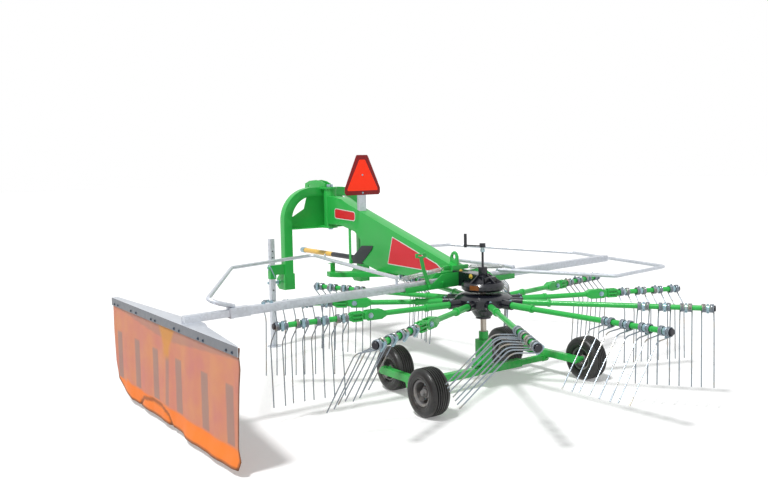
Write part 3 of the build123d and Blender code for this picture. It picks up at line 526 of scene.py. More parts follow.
def frames_along(points, closed=False):
    """Point, side and up vectors along a path, turned as little as possible."""
    count = len(points)
    ways = []
    for k in range(count):
        before = points[k - 1] if k or closed else points[k]
        after = points[(k + 1) % count] if k < count - 1 or closed else points[k]
        ways.append((after - before).normalized())
    side = ways[0].orthogonal().normalized()
    result = []
    for point, way in zip(points, ways):
        side = (side - way * side.dot(way)).normalized()
        result.append((point, side, way.cross(side)))
    return result


def add_tube(bm, points, radius, sides=10, closed=False):
    """Round tube along points, with closed ends."""
    rings = [[bm.verts.new(point + side * (radius * math.cos(angle)) + up * (radius * math.sin(angle)))
              for angle in around(sides)]
             for point, side, up in frames_along([Vector(p) for p in points], closed)]
    add_rings(bm, rings, closed)


def add_loop(bm, centre, wide, tall, radius, wire, steps):
    """Round ring of wire about a centre, in the plane of two vectors."""
    loop = [centre + (wide * math.cos(a) + tall * math.sin(a)) * radius for a in around(steps)]
    add_tube(bm, loop, wire, 8, closed=True)


def rounded_path(points, radius, steps=6):
    """Path with an arc at each inner corner."""
    points = [Vector(p) for p in points]
    result = [points[0]]
    for before, corner, after in zip(points, points[1:], points[2:]):
        into, out = (corner - before).normalized(), (after - corner).normalized()
        bend = into.angle(out)
        if bend < 0.01:
            continue
        reach = min(radius * math.tan(bend / 2),
                    0.49 * (corner - before).length, 0.49 * (after - corner).length)
        start = corner - into * reach
        centre = start + (out - into * into.dot(out)).normalized() * (reach / math.tan(bend / 2))
        axis = into.cross(out)
        for k in range(steps + 1):
            result.append(centre + Matrix.Rotation(bend * k / steps, 3, axis) @ (start - centre))
    result.append(points[-1])
    return result


def add_block(bm, size, place, bevel=0.0):
    """Box of a size about the origin of a matrix, with bevelled edges."""
    made = bmesh.ops.create_cube(bm, size=1.0, matrix=place @ Matrix.Diagonal((*size, 1.0)))
    if bevel:
        edges = list(dict.fromkeys(edge for vert in made["verts"] for edge in vert.link_edges))
        bmesh.ops.bevel(bm, geom=edges, offset=bevel, segments=2, profile=0.7, affect="EDGES")


def add_plate(bm, outline, thickness, place, bevel=0.001):
    """Flat plate from (x, y) points, its thickness along +Z of a matrix."""
    low = [bm.verts.new(place @ Vector((x, y, 0))) for x, y in outline]
    high = [bm.verts.new(place @ Vector((x, y, thickness))) for x, y in outline]
    faces = [bm.faces.new(list(reversed(low))), bm.faces.new(high)]
    count = len(outline)
    for k in range(count):
        n = (k + 1) % count
        faces.append(bm.faces.new((low[k], low[n], high[n], high[k])))
    bmesh.ops.recalc_face_normals(bm, faces=faces)
    if bevel:
        edges = [edge for face in faces[:2] for edge in face.edges]
        bmesh.ops.bevel(bm, geom=edges, offset=bevel, segments=1, affect="EDGES")


def move(x, y, z):
    return Matrix.Translation(Vector((x, y, z)))


def turn(degrees, axis):
    return Matrix.Rotation(math.radians(degrees), 4, axis)


def dressed(node, body, finish, bevel=0.002):
    """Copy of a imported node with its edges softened, in the node's place."""
    bm = bmesh.new()
    bm.from_mesh(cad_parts[node].data)
    bmesh.ops.remove_doubles(bm, verts=bm.verts, dist=1e-5)
    bmesh.ops.dissolve_limit(bm, angle_limit=math.radians(0.6), verts=bm.verts, edges=bm.edges)
    if bevel:
        sharp = [edge for edge in bm.edges
                 if len(edge.link_faces) == 2 and edge.calc_face_angle(0.0) > math.radians(32)]
        bmesh.ops.bevel(bm, geom=sharp, offset=bevel, segments=2, profile=0.7, affect="EDGES",
                        clamp_overlap=True)
    return mesh_piece(f"{node}_skin", bm, finish, body, replaced=(node,))


# Geometry nodes of the repeated fittings
def along_x(tree, given):
    """Points along X from the first place, one pitch apart."""
    start = add_node(tree, "ShaderNodeCombineXYZ", given["First"]).outputs[0]
    step = add_node(tree, "ShaderNodeCombineXYZ", given["Pitch"]).outputs[0]
    return add_node(tree, "GeometryNodeMeshLine", Count=given["Count"], Start_Location=start,
                    Offset=step).outputs["Mesh"]


def swept(tree, curve, radius, sides):
    """Round wire along a curve."""
    circle = add_node(tree, "GeometryNodeCurvePrimitiveCircle", Radius=radius, Resolution=sides)
    return add_node(tree, "GeometryNodeCurveToMesh", Curve=curve, Profile_Curve=circle.outputs["Curve"],
                    Fill_Caps=True).outputs["Mesh"]


def copies(tree, points, piece, **rotation):
    return add_node(tree, "GeometryNodeInstanceOnPoints", Points=points, Instance=piece,
                    **rotation).outputs["Instances"]


def wire_row_nodes(tree, given):
    """A drawn wire, given a round section and repeated along an arm with small differences."""
    curve = add_node(tree, "GeometryNodeMeshToCurve", Mesh=given["Geometry"]).outputs["Curve"]
    wire = swept(tree, curve, given["Wire radius"], given["Sides"])
    spread = add_node(tree, "ShaderNodeCombineXYZ", given["Looseness"]).outputs[0]
    loose = add_node(tree, "FunctionNodeRandomValue", settings={"data_type": "FLOAT_VECTOR"},
                     Min=scaled(tree, spread, -1.0), Max=spread, Seed=given["Seed"])
    return copies(tree, along_x(tree, given), wire, Rotation=loose.outputs["Value"])


def part_row_nodes(tree, given):
    """One fitting repeated along an arm."""
    return copies(tree, along_x(tree, given), given["Geometry"])


def bolt_nodes(tree, given):
    """Hexagon heads with washers on points, each along the point's own axis."""
    radius, height = given["Head radius"], given["Head height"]
    join = tree.nodes.new("GeometryNodeJoinGeometry")
    # Head, washer and thread: sides, radius, depth, and the middle's height as a share of the head's
    for sides, wide, deep, share in (
            (6, radius, height, 0.5), (20, given["Washer radius"], 0.0024, 0.0),
            (12, calc(tree, "MULTIPLY", radius, 0.52), calc(tree, "MULTIPLY", height, 1.5), 0.75)):
        drum = add_node(tree, "GeometryNodeMeshCylinder", Vertices=sides, Radius=wide, Depth=deep)
        lift = add_node(tree, "ShaderNodeCombineXYZ", Z=calc(tree, "MULTIPLY", height, share))
        shift = add_node(tree, "GeometryNodeTransform", Geometry=drum.outputs["Mesh"],
                         Translation=lift.outputs[0])
        tree.links.new(shift.outputs[0], join.inputs[0])
    axis = add_node(tree, "GeometryNodeInputNamedAttribute", settings={"data_type": "FLOAT_VECTOR"},
                    Name="axis")
    aim = add_node(tree, "FunctionNodeAlignRotationToVector", settings={"axis": "Z"}, Vector=axis.outputs[0])
    return copies(tree, given["Geometry"], join.outputs[0], Rotation=aim.outputs[0])


def spring_nodes(tree, given):
    """Close-wound tension spring along +Z."""
    spiral = add_node(tree, "GeometryNodeCurveSpiral", Start_Radius=given["Coil radius"],
                      End_Radius=given["Coil radius"], Resolution=given["Steps"], Rotations=given["Turns"],
                      Height=given["Length"])
    return swept(tree, spiral.outputs["Curve"], given["Wire radius"], 8)


# Name: function, finish, inputs with their defaults
FITTINGS = {
    "Wire row": (wire_row_nodes, "tine_steel", {
        "Wire radius": 0.005, "Count": 4, "First": 1.29, "Pitch": 0.16, "Sides": 8, "Looseness": 0.02,
        "Seed": 1}),
    "Part row": (part_row_nodes, "zinc_plate", {"Count": 4, "First": 1.29, "Pitch": 0.16}),
    "Bolts": (bolt_nodes, "zinc_plate", {"Head radius": 0.011, "Head height": 0.008, "Washer radius": 0.014}),
    "Tension spring": (spring_nodes, "zinc_plate", {
        "Wire radius": 0.0035, "Coil radius": 0.0155, "Length": 0.39, "Turns": 40.0, "Steps": 14}),
}


def fitting_tree(name, build, finish, inputs):
    """Geometry node tree that ends with real geometry in its finish."""
    def whole(tree, given):
        real = add_node(tree, "GeometryNodeRealizeInstances", build(tree, given)).outputs[0]
        return (add_node(tree, "GeometryNodeSetMaterial", Geometry=real, Material=finish).outputs[0],)

    return node_tree("GeometryNodeTree", name, {"Geometry": None, **inputs}, {"Geometry": None}, whole)


def run_tree(name, mesh, values):
    """Put a mesh through a fitting's tree and return the result as a plain mesh."""
    holder = new_object("holder", mesh)
    modifier = holder.modifiers.new("Build", "NODES")
    modifier.node_group = TREES[name]
    sockets = {item.name: item.identifier for item in TREES[name].interface.items_tree
               if item.item_type == "SOCKET" and item.in_out == "INPUT"}
    for label, value in values.items():
        modifier[sockets[label]] = value
    bpy.context.view_layer.update()
    graph = bpy.context.evaluated_depsgraph_get()
    made = bpy.data.meshes.new_from_object(holder.evaluated_get(graph), depsgraph=graph)
    bpy.data.objects.remove(holder)
    return made


def bolts(name, places, body, radius=0.011, height=0.008, washer=0.015,
          finish="zinc_plate"):
    """One piece of bolts, from (point, axis) pairs."""
    mesh = bpy.data.meshes.new(name)
    mesh.from_pydata([tuple(point) for point, axis in places], [], [])
    axes = mesh.attributes.new("axis", "FLOAT_VECTOR", "POINT")
    for k, (point, axis) in enumerate(places):
        axes.data[k].vector = Vector(axis).normalized()
    made = run_tree("Bolts", mesh, {"Head radius": radius, "Head height": height, "Washer radius": washer})
    return link_piece(name, made, finish, body)


# Rotor: arms, tines and hub
def arm_place(name):
    """Matrix of an arm: X outwards, Z up."""
    order = list(CAM_ANGLE).index(name)
    azimuth = FIRST_ARM_AZIMUTH - order * 360 / len(CAM_ANGLE)
    return Matrix.Translation(ROTOR + Vector((0, 0, ARM_Z))) @ turn(azimuth, "Z")


def ring_section(inner, outer, low, high):
    """Rectangle of (radius, height) points."""
    return [(inner, low), (outer, low), (outer, high), (inner, high)]


# Double tine: half of the space between its coils, bend radius of its leg, points on each turn
TINE_GAP = 0.0145
TINE_BEND = 0.09
TINE_STEPS = 14
# From the last double tine to the arm's end
ARM_END = 0.06
# Rigid arm: sleeve and collar as (radius, place along the arm) points. A folding arm has none
ARM_SLEEVE = [(0.002, 0.251), (0.027, 0.251), (0.027, 0.534), (0.03, 0.536), (0.032, 0.538), (0.032, 0.556),
              (0.03, 0.56), (TUBE_RADIUS, 0.561)]
FOLDING_TUBE_START = 1.22


def tine_wire(size):
    """Line of one double tine: leg, coil, bridge under the clamp, coil, leg. Coils lie round the X axis."""
    leg = rounded_path([
        (0, size.coil * 0.7, -size.coil * 0.72), (0, -size.bend_out, -size.bend_drop),
        (0, -size.bend_out, -size.drop)], TINE_BEND, 8)
    outer = TINE_GAP + size.turns * 2 * size.wire * 1.04
    count = int(size.turns * TINE_STEPS)

    def half(side):
        line = [Vector((side * outer, point.y, point.z)) for point in reversed(leg[1:])]
        for k in range(count + 1):
            angle = math.radians(-45) + 2 * math.pi * k / TINE_STEPS
            along = outer - (outer - TINE_GAP) * k / count
            line.append(Vector((side * along, size.coil * math.cos(angle), size.coil * math.sin(angle))))
        return line

    return half(1) + list(reversed(half(-1)))


def clamp_mesh():
    """Clamp round the arm tube: saddle band, block, and a bolt with its head and nut."""
    bm = bmesh.new()
    across = move(0, 0.032, 0)
    add_revolved(bm, ring_section(0.0212, 0.0262, -0.011, 0.011), turn(90, "Y"), 20)
    add_block(bm, (0.024, 0.026, 0.05), move(0, 0.031, 0), 0.002)
    add_revolved(bm, ring_section(0.0001, 0.0065, 0.024, 0.038), across, 6, False)
    for low, high in ((-0.036, -0.026), (0.024, 0.033)):
        add_drum(bm, 0.0105, low, high, across, 6)
    return to_mesh("clamp", bm)


class RAKE_OT_tine_arms(bpy.types.Operator):
    """Build the arms' tubes, end caps, clamps and double spring tines"""

    bl_idname = "rake.tine_arms"
    bl_label = "Build Tine Arms"

    def execute(self, context):
        size = context.scene.rake_tines
        points = tine_wire(size)
        wire = bpy.data.meshes.new("tine_line")
        wire.from_pydata([tuple(p) for p in points], [(k, k + 1) for k in range(len(points) - 1)], [])
        row = {"Count": size.per_arm, "First": size.first, "Pitch": size.pitch}
        lay = turn(90, "Y")
        end = size.first + (size.per_arm - 1) * size.pitch + ARM_END
        tube_end = [(TUBE_RADIUS, end - 0.03), (0.002, end - 0.03)]
        cap_section = [(0.002, end - 0.045), (0.0235, end - 0.045), (0.0235, end - 0.004), (0.02, end),
                       (0.002, end)]
        for order, (name, cam) in enumerate(CAM_ANGLE.items()):
            turned = arm_place(name) @ turn(-cam, "X")
            body = ARM_BODY[name]
            tube = bmesh.new()
            start = [(0.002, FOLDING_TUBE_START), (TUBE_RADIUS, FOLDING_TUBE_START)]
            add_revolved(tube, (start if name in FOLDING_ARMS else ARM_SLEEVE) + tube_end, lay, 28, False)
            tube.transform(turned)
            mesh_piece(f"arm_tube_{name}", tube, "green_paint", body,
                       replaced=(ARM_NODE[name],))
            cap = bmesh.new()
            add_revolved(cap, cap_section, lay, 24, False)
            cap.transform(turned)
            mesh_piece(f"arm_cap_{name}", cap, "black_plastic", body)
            clamps = run_tree("Part row", clamp_mesh(), row)
            clamps.transform(turned)
            link_piece(f"tine_clamps_{name}", clamps, "zinc_plate", body)
            tines = run_tree("Wire row", wire.copy(), {
                **row, "Wire radius": size.wire, "Seed": order, "Looseness": 0.025})
            tines.transform(turned)
            link_piece(f"spring_tines_{name}", tines, "tine_steel", body)
        return {"FINISHED"}


# Fold hinge. Tongue and block as (along, across) points, and the bolt as radius, low, high, sides
TONGUE_NOSE = 0.028
TONGUE_END = 1.13
FOLD_BLOCK = [(1.125, -0.038), (1.2, -0.038), (1.24, -0.02), (1.24, 0.02), (1.2, 0.038), (1.125, 0.038)]
FOLD_BOLT = ((0.01, -0.046, 0.046, 20), (0.0165, -0.043, -0.034, 6), (0.0165, 0.034, 0.045, 6),
             (0.021, -0.034, -0.031, 20), (0.021, 0.031, 0.034, 20))


def fold_tongue(name):
    """Tongue of a folding arm, with its block of two plates, ribs, end plate and straps."""
    bm = bmesh.new()
    flat = turn(90, "X")
    outline = [(HINGE_RADIUS + TONGUE_NOSE * math.cos(a), TONGUE_NOSE * math.sin(a))
               for a in [math.radians(90 + 180 * k / 12) for k in range(13)]]
    outline += [(TONGUE_END, -TONGUE_NOSE), (TONGUE_END, TONGUE_NOSE)]
    add_plate(bm, outline, 0.038, move(0, 0.019, 0) @ flat, 0.002)
    for top in (-0.008, 0.018):
        add_plate(bm, FOLD_BLOCK, 0.01, move(0, top, 0) @ flat, 0.0015)
    for side in (-1, 1):
        for height in (-0.0295, -0.002, 0.0265):
            add_block(bm, (0.082, 0.018, 0.013), move(1.167, side * 0.024, height), 0.0015)
    add_block(bm, (0.01, 0.056, 0.074), move(TONGUE_END, 0, 0), 0.0015)
    for height in (0.026, -0.026):
        add_block(bm, (0.08, 0.04, 0.006), move(1.175, 0, height), 0.001)
    bm.transform(arm_place(name))
    return bm


class RAKE_OT_arm_hinges(bpy.types.Operator):
    """Build the fold hinges of the folding arms with their bolts"""

    bl_idname = "rake.arm_hinges"
    bl_label = "Build Fold Hinges"

    def execute(self, context):
        dressed("arm_stubs", "rotor", "green_paint", 0.0015)
        pins = bmesh.new()
        for name in FOLDING_ARMS:
            mesh_piece(f"fold_block_{name}", fold_tongue(name), "green_paint", ARM_BODY[name])
            across = arm_place(name) @ move(HINGE_RADIUS, 0, 0) @ turn(-90, "X")
            for radius, low, high, sides in FOLD_BOLT:
                add_drum(pins, radius, low, high, across, sides)
        mesh_piece("fold_bolts", pins, "zinc_plate", "rotor", replaced=("arm_fold_pins",))
        return {"FINISHED"}


# Rings of bolts on the hub: radius, turn from the middle between two arms in radians, height
HUB_BOLTS = ((0.222, 0.0, 0.7525), (0.315, 0.2856, 0.7585))


class RAKE_OT_rotor_hub(bpy.types.Operator):
    """Dress the rotor hub with its bolts"""

    bl_idname = "rake.rotor_hub"
    bl_label = "Build Rotor Hub"

    def execute(self, context):
        dressed("rotor_hub", "rotor", "black_paint", 0.003)
        count = len(CAM_ANGLE)
        ring = []
        for k in range(count):
            middle_angle = math.radians(FIRST_ARM_AZIMUTH + 180 / count + k * 360 / count)
            for radius, back, height in HUB_BOLTS:
                angle = middle_angle - back
                ring.append((at(radius * math.cos(angle), radius * math.sin(angle), height), (0, 0, 1)))
        bolts("hub_bolts", ring, "rotor", radius=0.009, height=0.006, washer=0.012)
        return {"FINISHED"}


# Tyre: radius at the crown, half of the tread, fall of the tread's edge, width and taper of the grooves
TYRE_CROWN = 0.1825
TREAD_HALF = 0.059
TREAD_DROP = 0.0015
GROOVE_WIDTH = 0.0085
GROOVE_TAPER = 0.0012
# Sections of the wheels as (radius, across) points
TYRE_SIDE = [
    (0.0885, 0.056), (0.098, 0.0575), (0.101, 0.066), (0.105, 0.0752), (0.112, 0.0775), (0.121, 0.083),
    (0.127, 0.0832), (0.1285, 0.0822), (0.134, 0.084), (0.146, 0.0838), (0.157, 0.0805), (0.1665, 0.0752),
    (0.1745, 0.0675)]
RIM = [
    (0.081, -0.052), (0.083, -0.06), (0.096, -0.0655), (0.097, -0.062), (0.0945, -0.0605), (0.088, -0.058),
    (0.088, 0.058), (0.0945, 0.0605), (0.0985, 0.062), (0.0985, 0.066), (0.09, 0.066), (0.084, 0.062),
    (0.081, 0.052)]
WHEEL_HUB = [
    (0.0126, -0.045), (0.027, -0.045), (0.03, -0.042), (0.03, -0.004), (0.034, 0.02), (0.043, 0.021),
    (0.0445, 0.025), (0.043, 0.029), (0.032, 0.03), (0.03, 0.042), (0.027, 0.045), (0.0126, 0.045)]
HUB_CAP = [
    (0.0001, 0.042), (0.0215, 0.042), (0.0215, 0.058), (0.019, 0.0625), (0.012, 0.0645), (0.0001, 0.065)]
DISC = [
    (0.0305, -0.004), (0.05, 0.004), (0.062, -0.002), (0.07, -0.012), (0.076, -0.03), (0.0805, -0.05),
    (0.083, -0.05), (0.083, 0.05), (0.0805, 0.05), (0.0775, 0.02), (0.07, 0.004), (0.062, 0.012),
    (0.05, 0.018), (0.0335, 0.0185)]
# Nuts on the disc and the radius of their ring
RIM_NUTS = 5
RIM_NUT_RADIUS = 0.056
# Way along Y in which each wheel's hub cap points
OUTWARD = {"front_left": -1, "rear_left": 1, "front_right": 1, "rear_right": -1}


def tyre_profile(size):
    """Section of a ribbed implement tyre, from bead to bead."""
    width = 2 * TREAD_HALF / size.ribs
    tread = []
    for k in range(size.ribs):
        outer = TREAD_HALF - k * width
        inner = outer - width + GROOVE_WIDTH
        places = [(outer, 0.0), (inner, 0.0)]
        if k < size.ribs - 1:
            places += [(inner - GROOVE_TAPER, size.groove),
                       (inner - GROOVE_WIDTH + GROOVE_TAPER, size.groove)]
        tread += [(TYRE_CROWN - TREAD_DROP * (abs(y) / TREAD_HALF) ** 2 - depth, y) for y, depth in places]
    return TYRE_SIDE + tread + [(r, -y) for r, y in reversed(TYRE_SIDE)]


class RAKE_OT_wheels(bpy.types.Operator):
    """Build the ribbed tyres and the dished rims"""

    bl_idname = "rake.wheels"
    bl_label = "Build Wheels"

    def execute(self, context):
        tyre = tyre_profile(context.scene.rake_wheels)
        for name, outward in OUTWARD.items():
            lay = Matrix.Translation(middle(f"tyre_{name}")) @ turn(-90 * outward, "X")
            body = f"wheel_{name}"
            # The dished disc takes the darkened rim paint: painted shade in its recess
            for piece, sections, finish, slot, smooth_angle, replaced in (
                    ("ribbed_tyre", ((tyre, 96),), "tyre_rubber", "tyre_rubber", 40, (f"tyre_{name}",)),
                    ("grey_rim", ((RIM, 64), (WHEEL_HUB, 48), (HUB_CAP, 32)), "grey_rim_paint",
                     "grey_rim_paint", 30, (f"rim_{name}",)),
                    ("dished_disc", ((DISC, 64),), "rim_dish_painted_shade", "grey_rim_paint", 30, ())):
                bm = bmesh.new()
                for section, turns in sections:
                    add_revolved(bm, section, lay, turns)
                mesh_piece(f"{piece}_{name}", bm, finish, body, smooth_angle, replaced)
            nuts = [(lay @ Vector((RIM_NUT_RADIUS * math.cos(a), RIM_NUT_RADIUS * math.sin(a), 0.016)),
                     lay.to_3x3() @ Vector((0, 0, 1))) for a in around(RIM_NUTS)]
            bolts(f"rim_bolts_{name}", nuts, body, radius=0.006, height=0.004, washer=0.008)
        return {"FINISHED"}


# Guard springs: radius of wire and coil, length of one turn, the coil's start, what the eyes take of the
# length, radius of the eyes and of their wire, and the right spring's lean in degrees
SPRING_WIRE = 0.0031
SPRING_COIL = 0.0159
SPRING_TURN = 0.0125
SPRING_START = 0.04
SPRING_ENDS = 0.07
SPRING_EYE = 0.0115
EYE_WIRE = 0.0033
RIGHT_SPRING_LEAN = 6.5


class RAKE_OT_guard_springs(bpy.types.Operator):
    """Wind the two tension springs with their eyes"""

    bl_idname = "rake.guard_springs"
    bl_label = "Wind Guard Springs"

    def execute(self, context):
        up = Vector((0, 0, 1))
        for side in ("left", "right"):
            node = f"guard_spring_{side}"
            low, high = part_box(node)
            near_y, far_y = (low.y, high.y) if side == "left" else (high.y, low.y)
            inner = Vector(((low.x + high.x) / 2, near_y, high.z - 0.019))
            outer = Vector((inner.x, far_y, low.z + 0.012))
            if side == "right":
                shift = math.tan(math.radians(RIGHT_SPRING_LEAN)) * abs(outer.y - inner.y) / 2
                inner.x -= shift
                outer.x += shift
            way = (outer - inner).normalized()
            coiled = (outer - inner).length - SPRING_ENDS
            base = inner + way * SPRING_START
            made = run_tree("Tension spring", bpy.data.meshes.new("seed"), {
                "Length": coiled, "Turns": coiled / SPRING_TURN, "Wire radius": SPRING_WIRE,
                "Coil radius": SPRING_COIL, "Steps": 18})
            made.transform(Matrix.Translation(base) @ way.to_track_quat("Z", "Y").to_matrix().to_4x4())
            link_piece(f"{node}_coil", made, "spring_steel", "frame", replaced=(node,))
            eyes = bmesh.new()
            for centre, end, out in ((inner + way * 0.012, base + way * 0.004, -1),
                                     (outer, outer - way * 0.034, 1)):
                add_loop(eyes, centre, way, up, SPRING_EYE, EYE_WIRE, 20)
                add_tube(eyes, [centre - way * (out * SPRING_EYE), end], EYE_WIRE, 8)
            mesh_piece(f"{node}_eyes", eyes, "spring_steel", "frame")
        return {"FINISHED"}


# Stage
def seen_rays(tree):
    """1 on the rays of the camera and of reflections, 0 on the light that falls on the object."""
    rays = tree.nodes.new("ShaderNodeLightPath").outputs
    return calc(tree, "MAXIMUM", rays["Is Camera Ray"], rays["Is Glossy Ray"])


def pale_floor():
    """Wide floor that glows a little where it is seen."""
    r = FLOOR_REACH
    mesh = bpy.data.meshes.new("floor")
    mesh.from_pydata([(-r, -r, 0), (r, -r, 0), (r, r, 0), (-r, r, 0)], [], [(0, 1, 2, 3)])
    made = bpy.data.materials.new("pale_floor")
    made.use_nodes = True
    shader = made.node_tree.nodes["Principled BSDF"].inputs
    shader["Base Color"].default_value = (0.82, 0.82, 0.82, 1)
    shader["Roughness"].default_value = 0.9
    shader["Emission Color"].default_value = (1, 1, 1, 1)
    glow = calc(made.node_tree, "MULTIPLY", seen_rays(made.node_tree), FLOOR_GLOW)
    made.node_tree.links.new(glow, shader["Emission Strength"])
    mesh.materials.append(made)
    return new_object("floor", mesh)


def studio_world():
    """White surroundings where they are seen, and a lower even light on the object."""
    world = bpy.data.worlds.new("studio")
    world.use_nodes = True
    tree = world.node_tree
    ground = tree.nodes["Background"].inputs
    ground["Color"].default_value = (1, 1, 1, 1)
    tree.links.new(remap(tree, seen_rays(tree), 0.0, 1.0, AMBIENT, 1.0), ground["Strength"])
    return world


def photo_camera():
    """Camera at the photograph's viewpoint."""
    yaw, pitch, roll = (math.radians(a) for a in (CAMERA_YAW, CAMERA_PITCH, CAMERA_ROLL))
    ahead = Vector((math.cos(yaw) * math.cos(pitch), math.sin(yaw) * math.cos(pitch), math.sin(pitch)))
    right = ahead.cross(Vector((0, 0, 1))).normalized()
    above = right.cross(ahead)
    tilted = right * math.cos(roll) + above * math.sin(roll)
    upward = above * math.cos(roll) - right * math.sin(roll)
    lens = bpy.data.cameras.new("camera")
    lens.lens = CAMERA_LENS
    lens.sensor_width = 36.0
    lens.shift_x, lens.shift_y = CAMERA_SHIFT
    lens.clip_end = 200.0
    pose = Matrix((tilted, upward, -ahead)).transposed().to_4x4()
    pose.translation = at(*CAMERA_PLACE)
    camera = new_object("camera", lens)
    camera.matrix_world = pose
    return camera


class RAKE_OT_stage(bpy.types.Operator):
    """Set the floor, the lights and the camera"""

    bl_idname = "rake.stage"
    bl_label = "Set Stage"

    def execute(self, context):
        scene = context.scene
        scene.view_settings.view_transform = "Standard"
        pale_floor()
        scene.world = studio_world()
        for name, place, power, spread in SUNS:
            lamp = bpy.data.lights.new(name, "SUN")
            lamp.energy = power
            lamp.angle = math.radians(spread)
            holder = new_object(name, lamp)
            holder.location = at(*place)
            holder.rotation_mode = "QUATERNION"
            holder.rotation_quaternion = Vector(place).to_track_quat("Z", "Y")
        scene.camera = photo_camera()
        return {"FINISHED"}


# Plain nodes of each body: node, finish, bevel in metres
SKINS = {
    "frame": (
        ("boom", "green_paint", 0.003), ("gearbox", "black_paint", 0.004),
        ("gear_cover", "black_paint", 0.003), ("height_crank", "black_paint", 0.0015),
        ("sign_post", "galvanised_steel", 0.001),
        ("shaft_cowl", "black_plastic", 0.004), ("shaft_hanger", "green_paint", 0.001),
        ("guard_rests", "green_paint", 0.0015), ("latch_lever", "green_paint", 0.002),
        ("guard_bracket_left", "green_paint", 0.0015), ("guard_bracket_right", "green_paint", 0.0015),
        ("spring_lugs", "green_paint", 0.0015), ("drive_shaft_tube", "black_plastic", 0.0),
        ("drive_shaft_guard", "yellow_plastic", 0.003), ("drive_shaft_yoke", "zinc_plate", 0.002)),
    "headstock": (
        ("headstock_frame", "green_paint", 0.004), ("top_link_ears", "green_paint", 0.001),
        ("swivel_pin", "zinc_plate", 0.002), ("lower_link_pins", "zinc_plate", 0.002),
        ("stand_sleeve", "green_paint", 0.0015)),
    "stand": (("stand_leg", "galvanised_steel", 0.003), ("stand_foot", "galvanised_steel", 0.002)),
    "undercarriage": (
        ("pedestal", "green_paint", 0.003), ("cross_axle", "green_paint", 0.004),
        ("bogie_beam_left", "green_paint", 0.003), ("bogie_beam_right", "green_paint", 0.003)),
    "left_guard": (
        ("left_guard_beam", "galvanised_steel", 0.003), ("left_guard_hoop", "galvanised_steel", 0.0)),
    "right_guard": (
        ("right_guard_beam", "galvanised_steel", 0.003), ("right_guard_hoop", "galvanised_steel", 0.0)),
    "curtain": (
        ("curtain_slide_tube", "galvanised_steel", 0.003), ("curtain_rail", "galvanised_steel", 0.001)),
}


class RAKE_OT_skins(bpy.types.Operator):
    """Soften the edges of the steelwork and give it its finish"""

    bl_idname = "rake.skins"
    bl_label = "Dress Steelwork"

    def execute(self, context):
        for body, skins in SKINS.items():
            for node, finish, bevel in skins:
                dressed(node, body, finish, bevel)
        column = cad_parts["column"].data
        column.materials.clear()
        column.materials.append(FINISHES["bare_steel"])
        return {"FINISHED"}


def rounded_outline(corners, radius):
    """Closed outline of (x, y) points with an arc at each corner."""
    points = [Vector((x, y, 0)) for x, y in corners]
    start = (points[-1] + points[0]) / 2
    return [(p.x, p.y) for p in rounded_path([start, *points, start], radius, 5)[:-1]]


# Blank labels on the boom's left side: name, finish, X and Z from the rotor's axis, corner radius, layer
BOOM_LABELS = [
    ("large_label_rim", "decal_white",
     [(1.322, 0.916), (1.237, 1.182), (0.55, 0.99), (0.48, 0.95), (0.5, 0.907)], 0.008, 0),
    ("large_label", "decal_red",
     [(1.313, 0.923), (1.231, 1.172), (0.556, 0.982), (0.497, 0.948), (0.51, 0.915)], 0.006, 1),
    ("small_label_rim", "decal_white",
     [(2.287, 1.303), (2.287, 1.411), (1.888, 1.387), (1.888, 1.292)], 0.03, 0),
    ("small_label", "decal_red",
     [(2.279, 1.311), (2.279, 1.403), (1.896, 1.379), (1.896, 1.3)], 0.025, 1),
]
# Left side of the boom from its middle, and the height of one layer of label
BOOM_SIDE_Y = 0.061
LABEL_LAYER = 0.0004
# Left beam: droop in degrees, and half of its height
BEAM_DROOP = 1.1
BEAM_HALF = 0.03
# Bolts of the left beam: distance from its outer end, and 1 above it or -1 below it
BEAM_BOLTS = ((0.27, 1), (0.333, 1), (0.59, -1), (0.75, -1), (0.78, -1))
# Heights of the holes down the stand's leg
LEG_HOLES = (0.585, 0.92, 0.985)
# Cover label: (radius less than the cover's face, height) points, first angle and sweep in degrees
COVER_LABEL = ((0.0, 0.832), (0.0, 0.87), (0.002, 0.87), (0.002, 0.832))
COVER_LABEL_START = 103
COVER_LABEL_SWEEP = 26
COVER_LABEL_STEPS = 12


def add_boom_labels():
    upright = Matrix(((1, 0, 0, 0), (0, 0, 1, 0), (0, 1, 0, 0), (0, 0, 0, 1)))
    for name, finish, corners, radius, layer in BOOM_LABELS:
        bm = bmesh.new()
        place = Matrix.Translation(at(0, BOOM_SIDE_Y + LABEL_LAYER * layer, 0)) @ upright
        add_plate(bm, rounded_outline(corners, radius), 0.0005, place, 0.0)
        mesh_piece(name, bm, finish, "frame")


def add_beam_sleeve():
    """Square sleeve with a collar round the left beam's outer end, and the bolts along the beam's droop."""
    low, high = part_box("left_guard_beam")
    end = Vector(((low.x + high.x) / 2, high.y, low.z + BEAM_HALF))
    along = Matrix.Translation(end) @ turn(-BEAM_DROOP, "X") @ turn(90, "X") @ turn(45, "Z")
    root = math.sqrt(2)
    sleeve = bmesh.new()
    for inner, outer, length in ((0.0302, 0.0345, 0.155), (0.0346, 0.037, 0.03)):
        add_revolved(sleeve, ring_section(inner * root, outer * root, 0.004, length), along, 4)
    mesh_piece("beam_sleeve", sleeve, "galvanised_steel", "left_guard")
    slope = math.tan(math.radians(BEAM_DROOP))
    heads = [(end + Vector((0, -d, side * BEAM_HALF + d * slope)), (0, 0, side))
             for d, side in BEAM_BOLTS]
    bolts("beam_bolts", heads, "left_guard", radius=0.0125, height=0.012, washer=0.016)


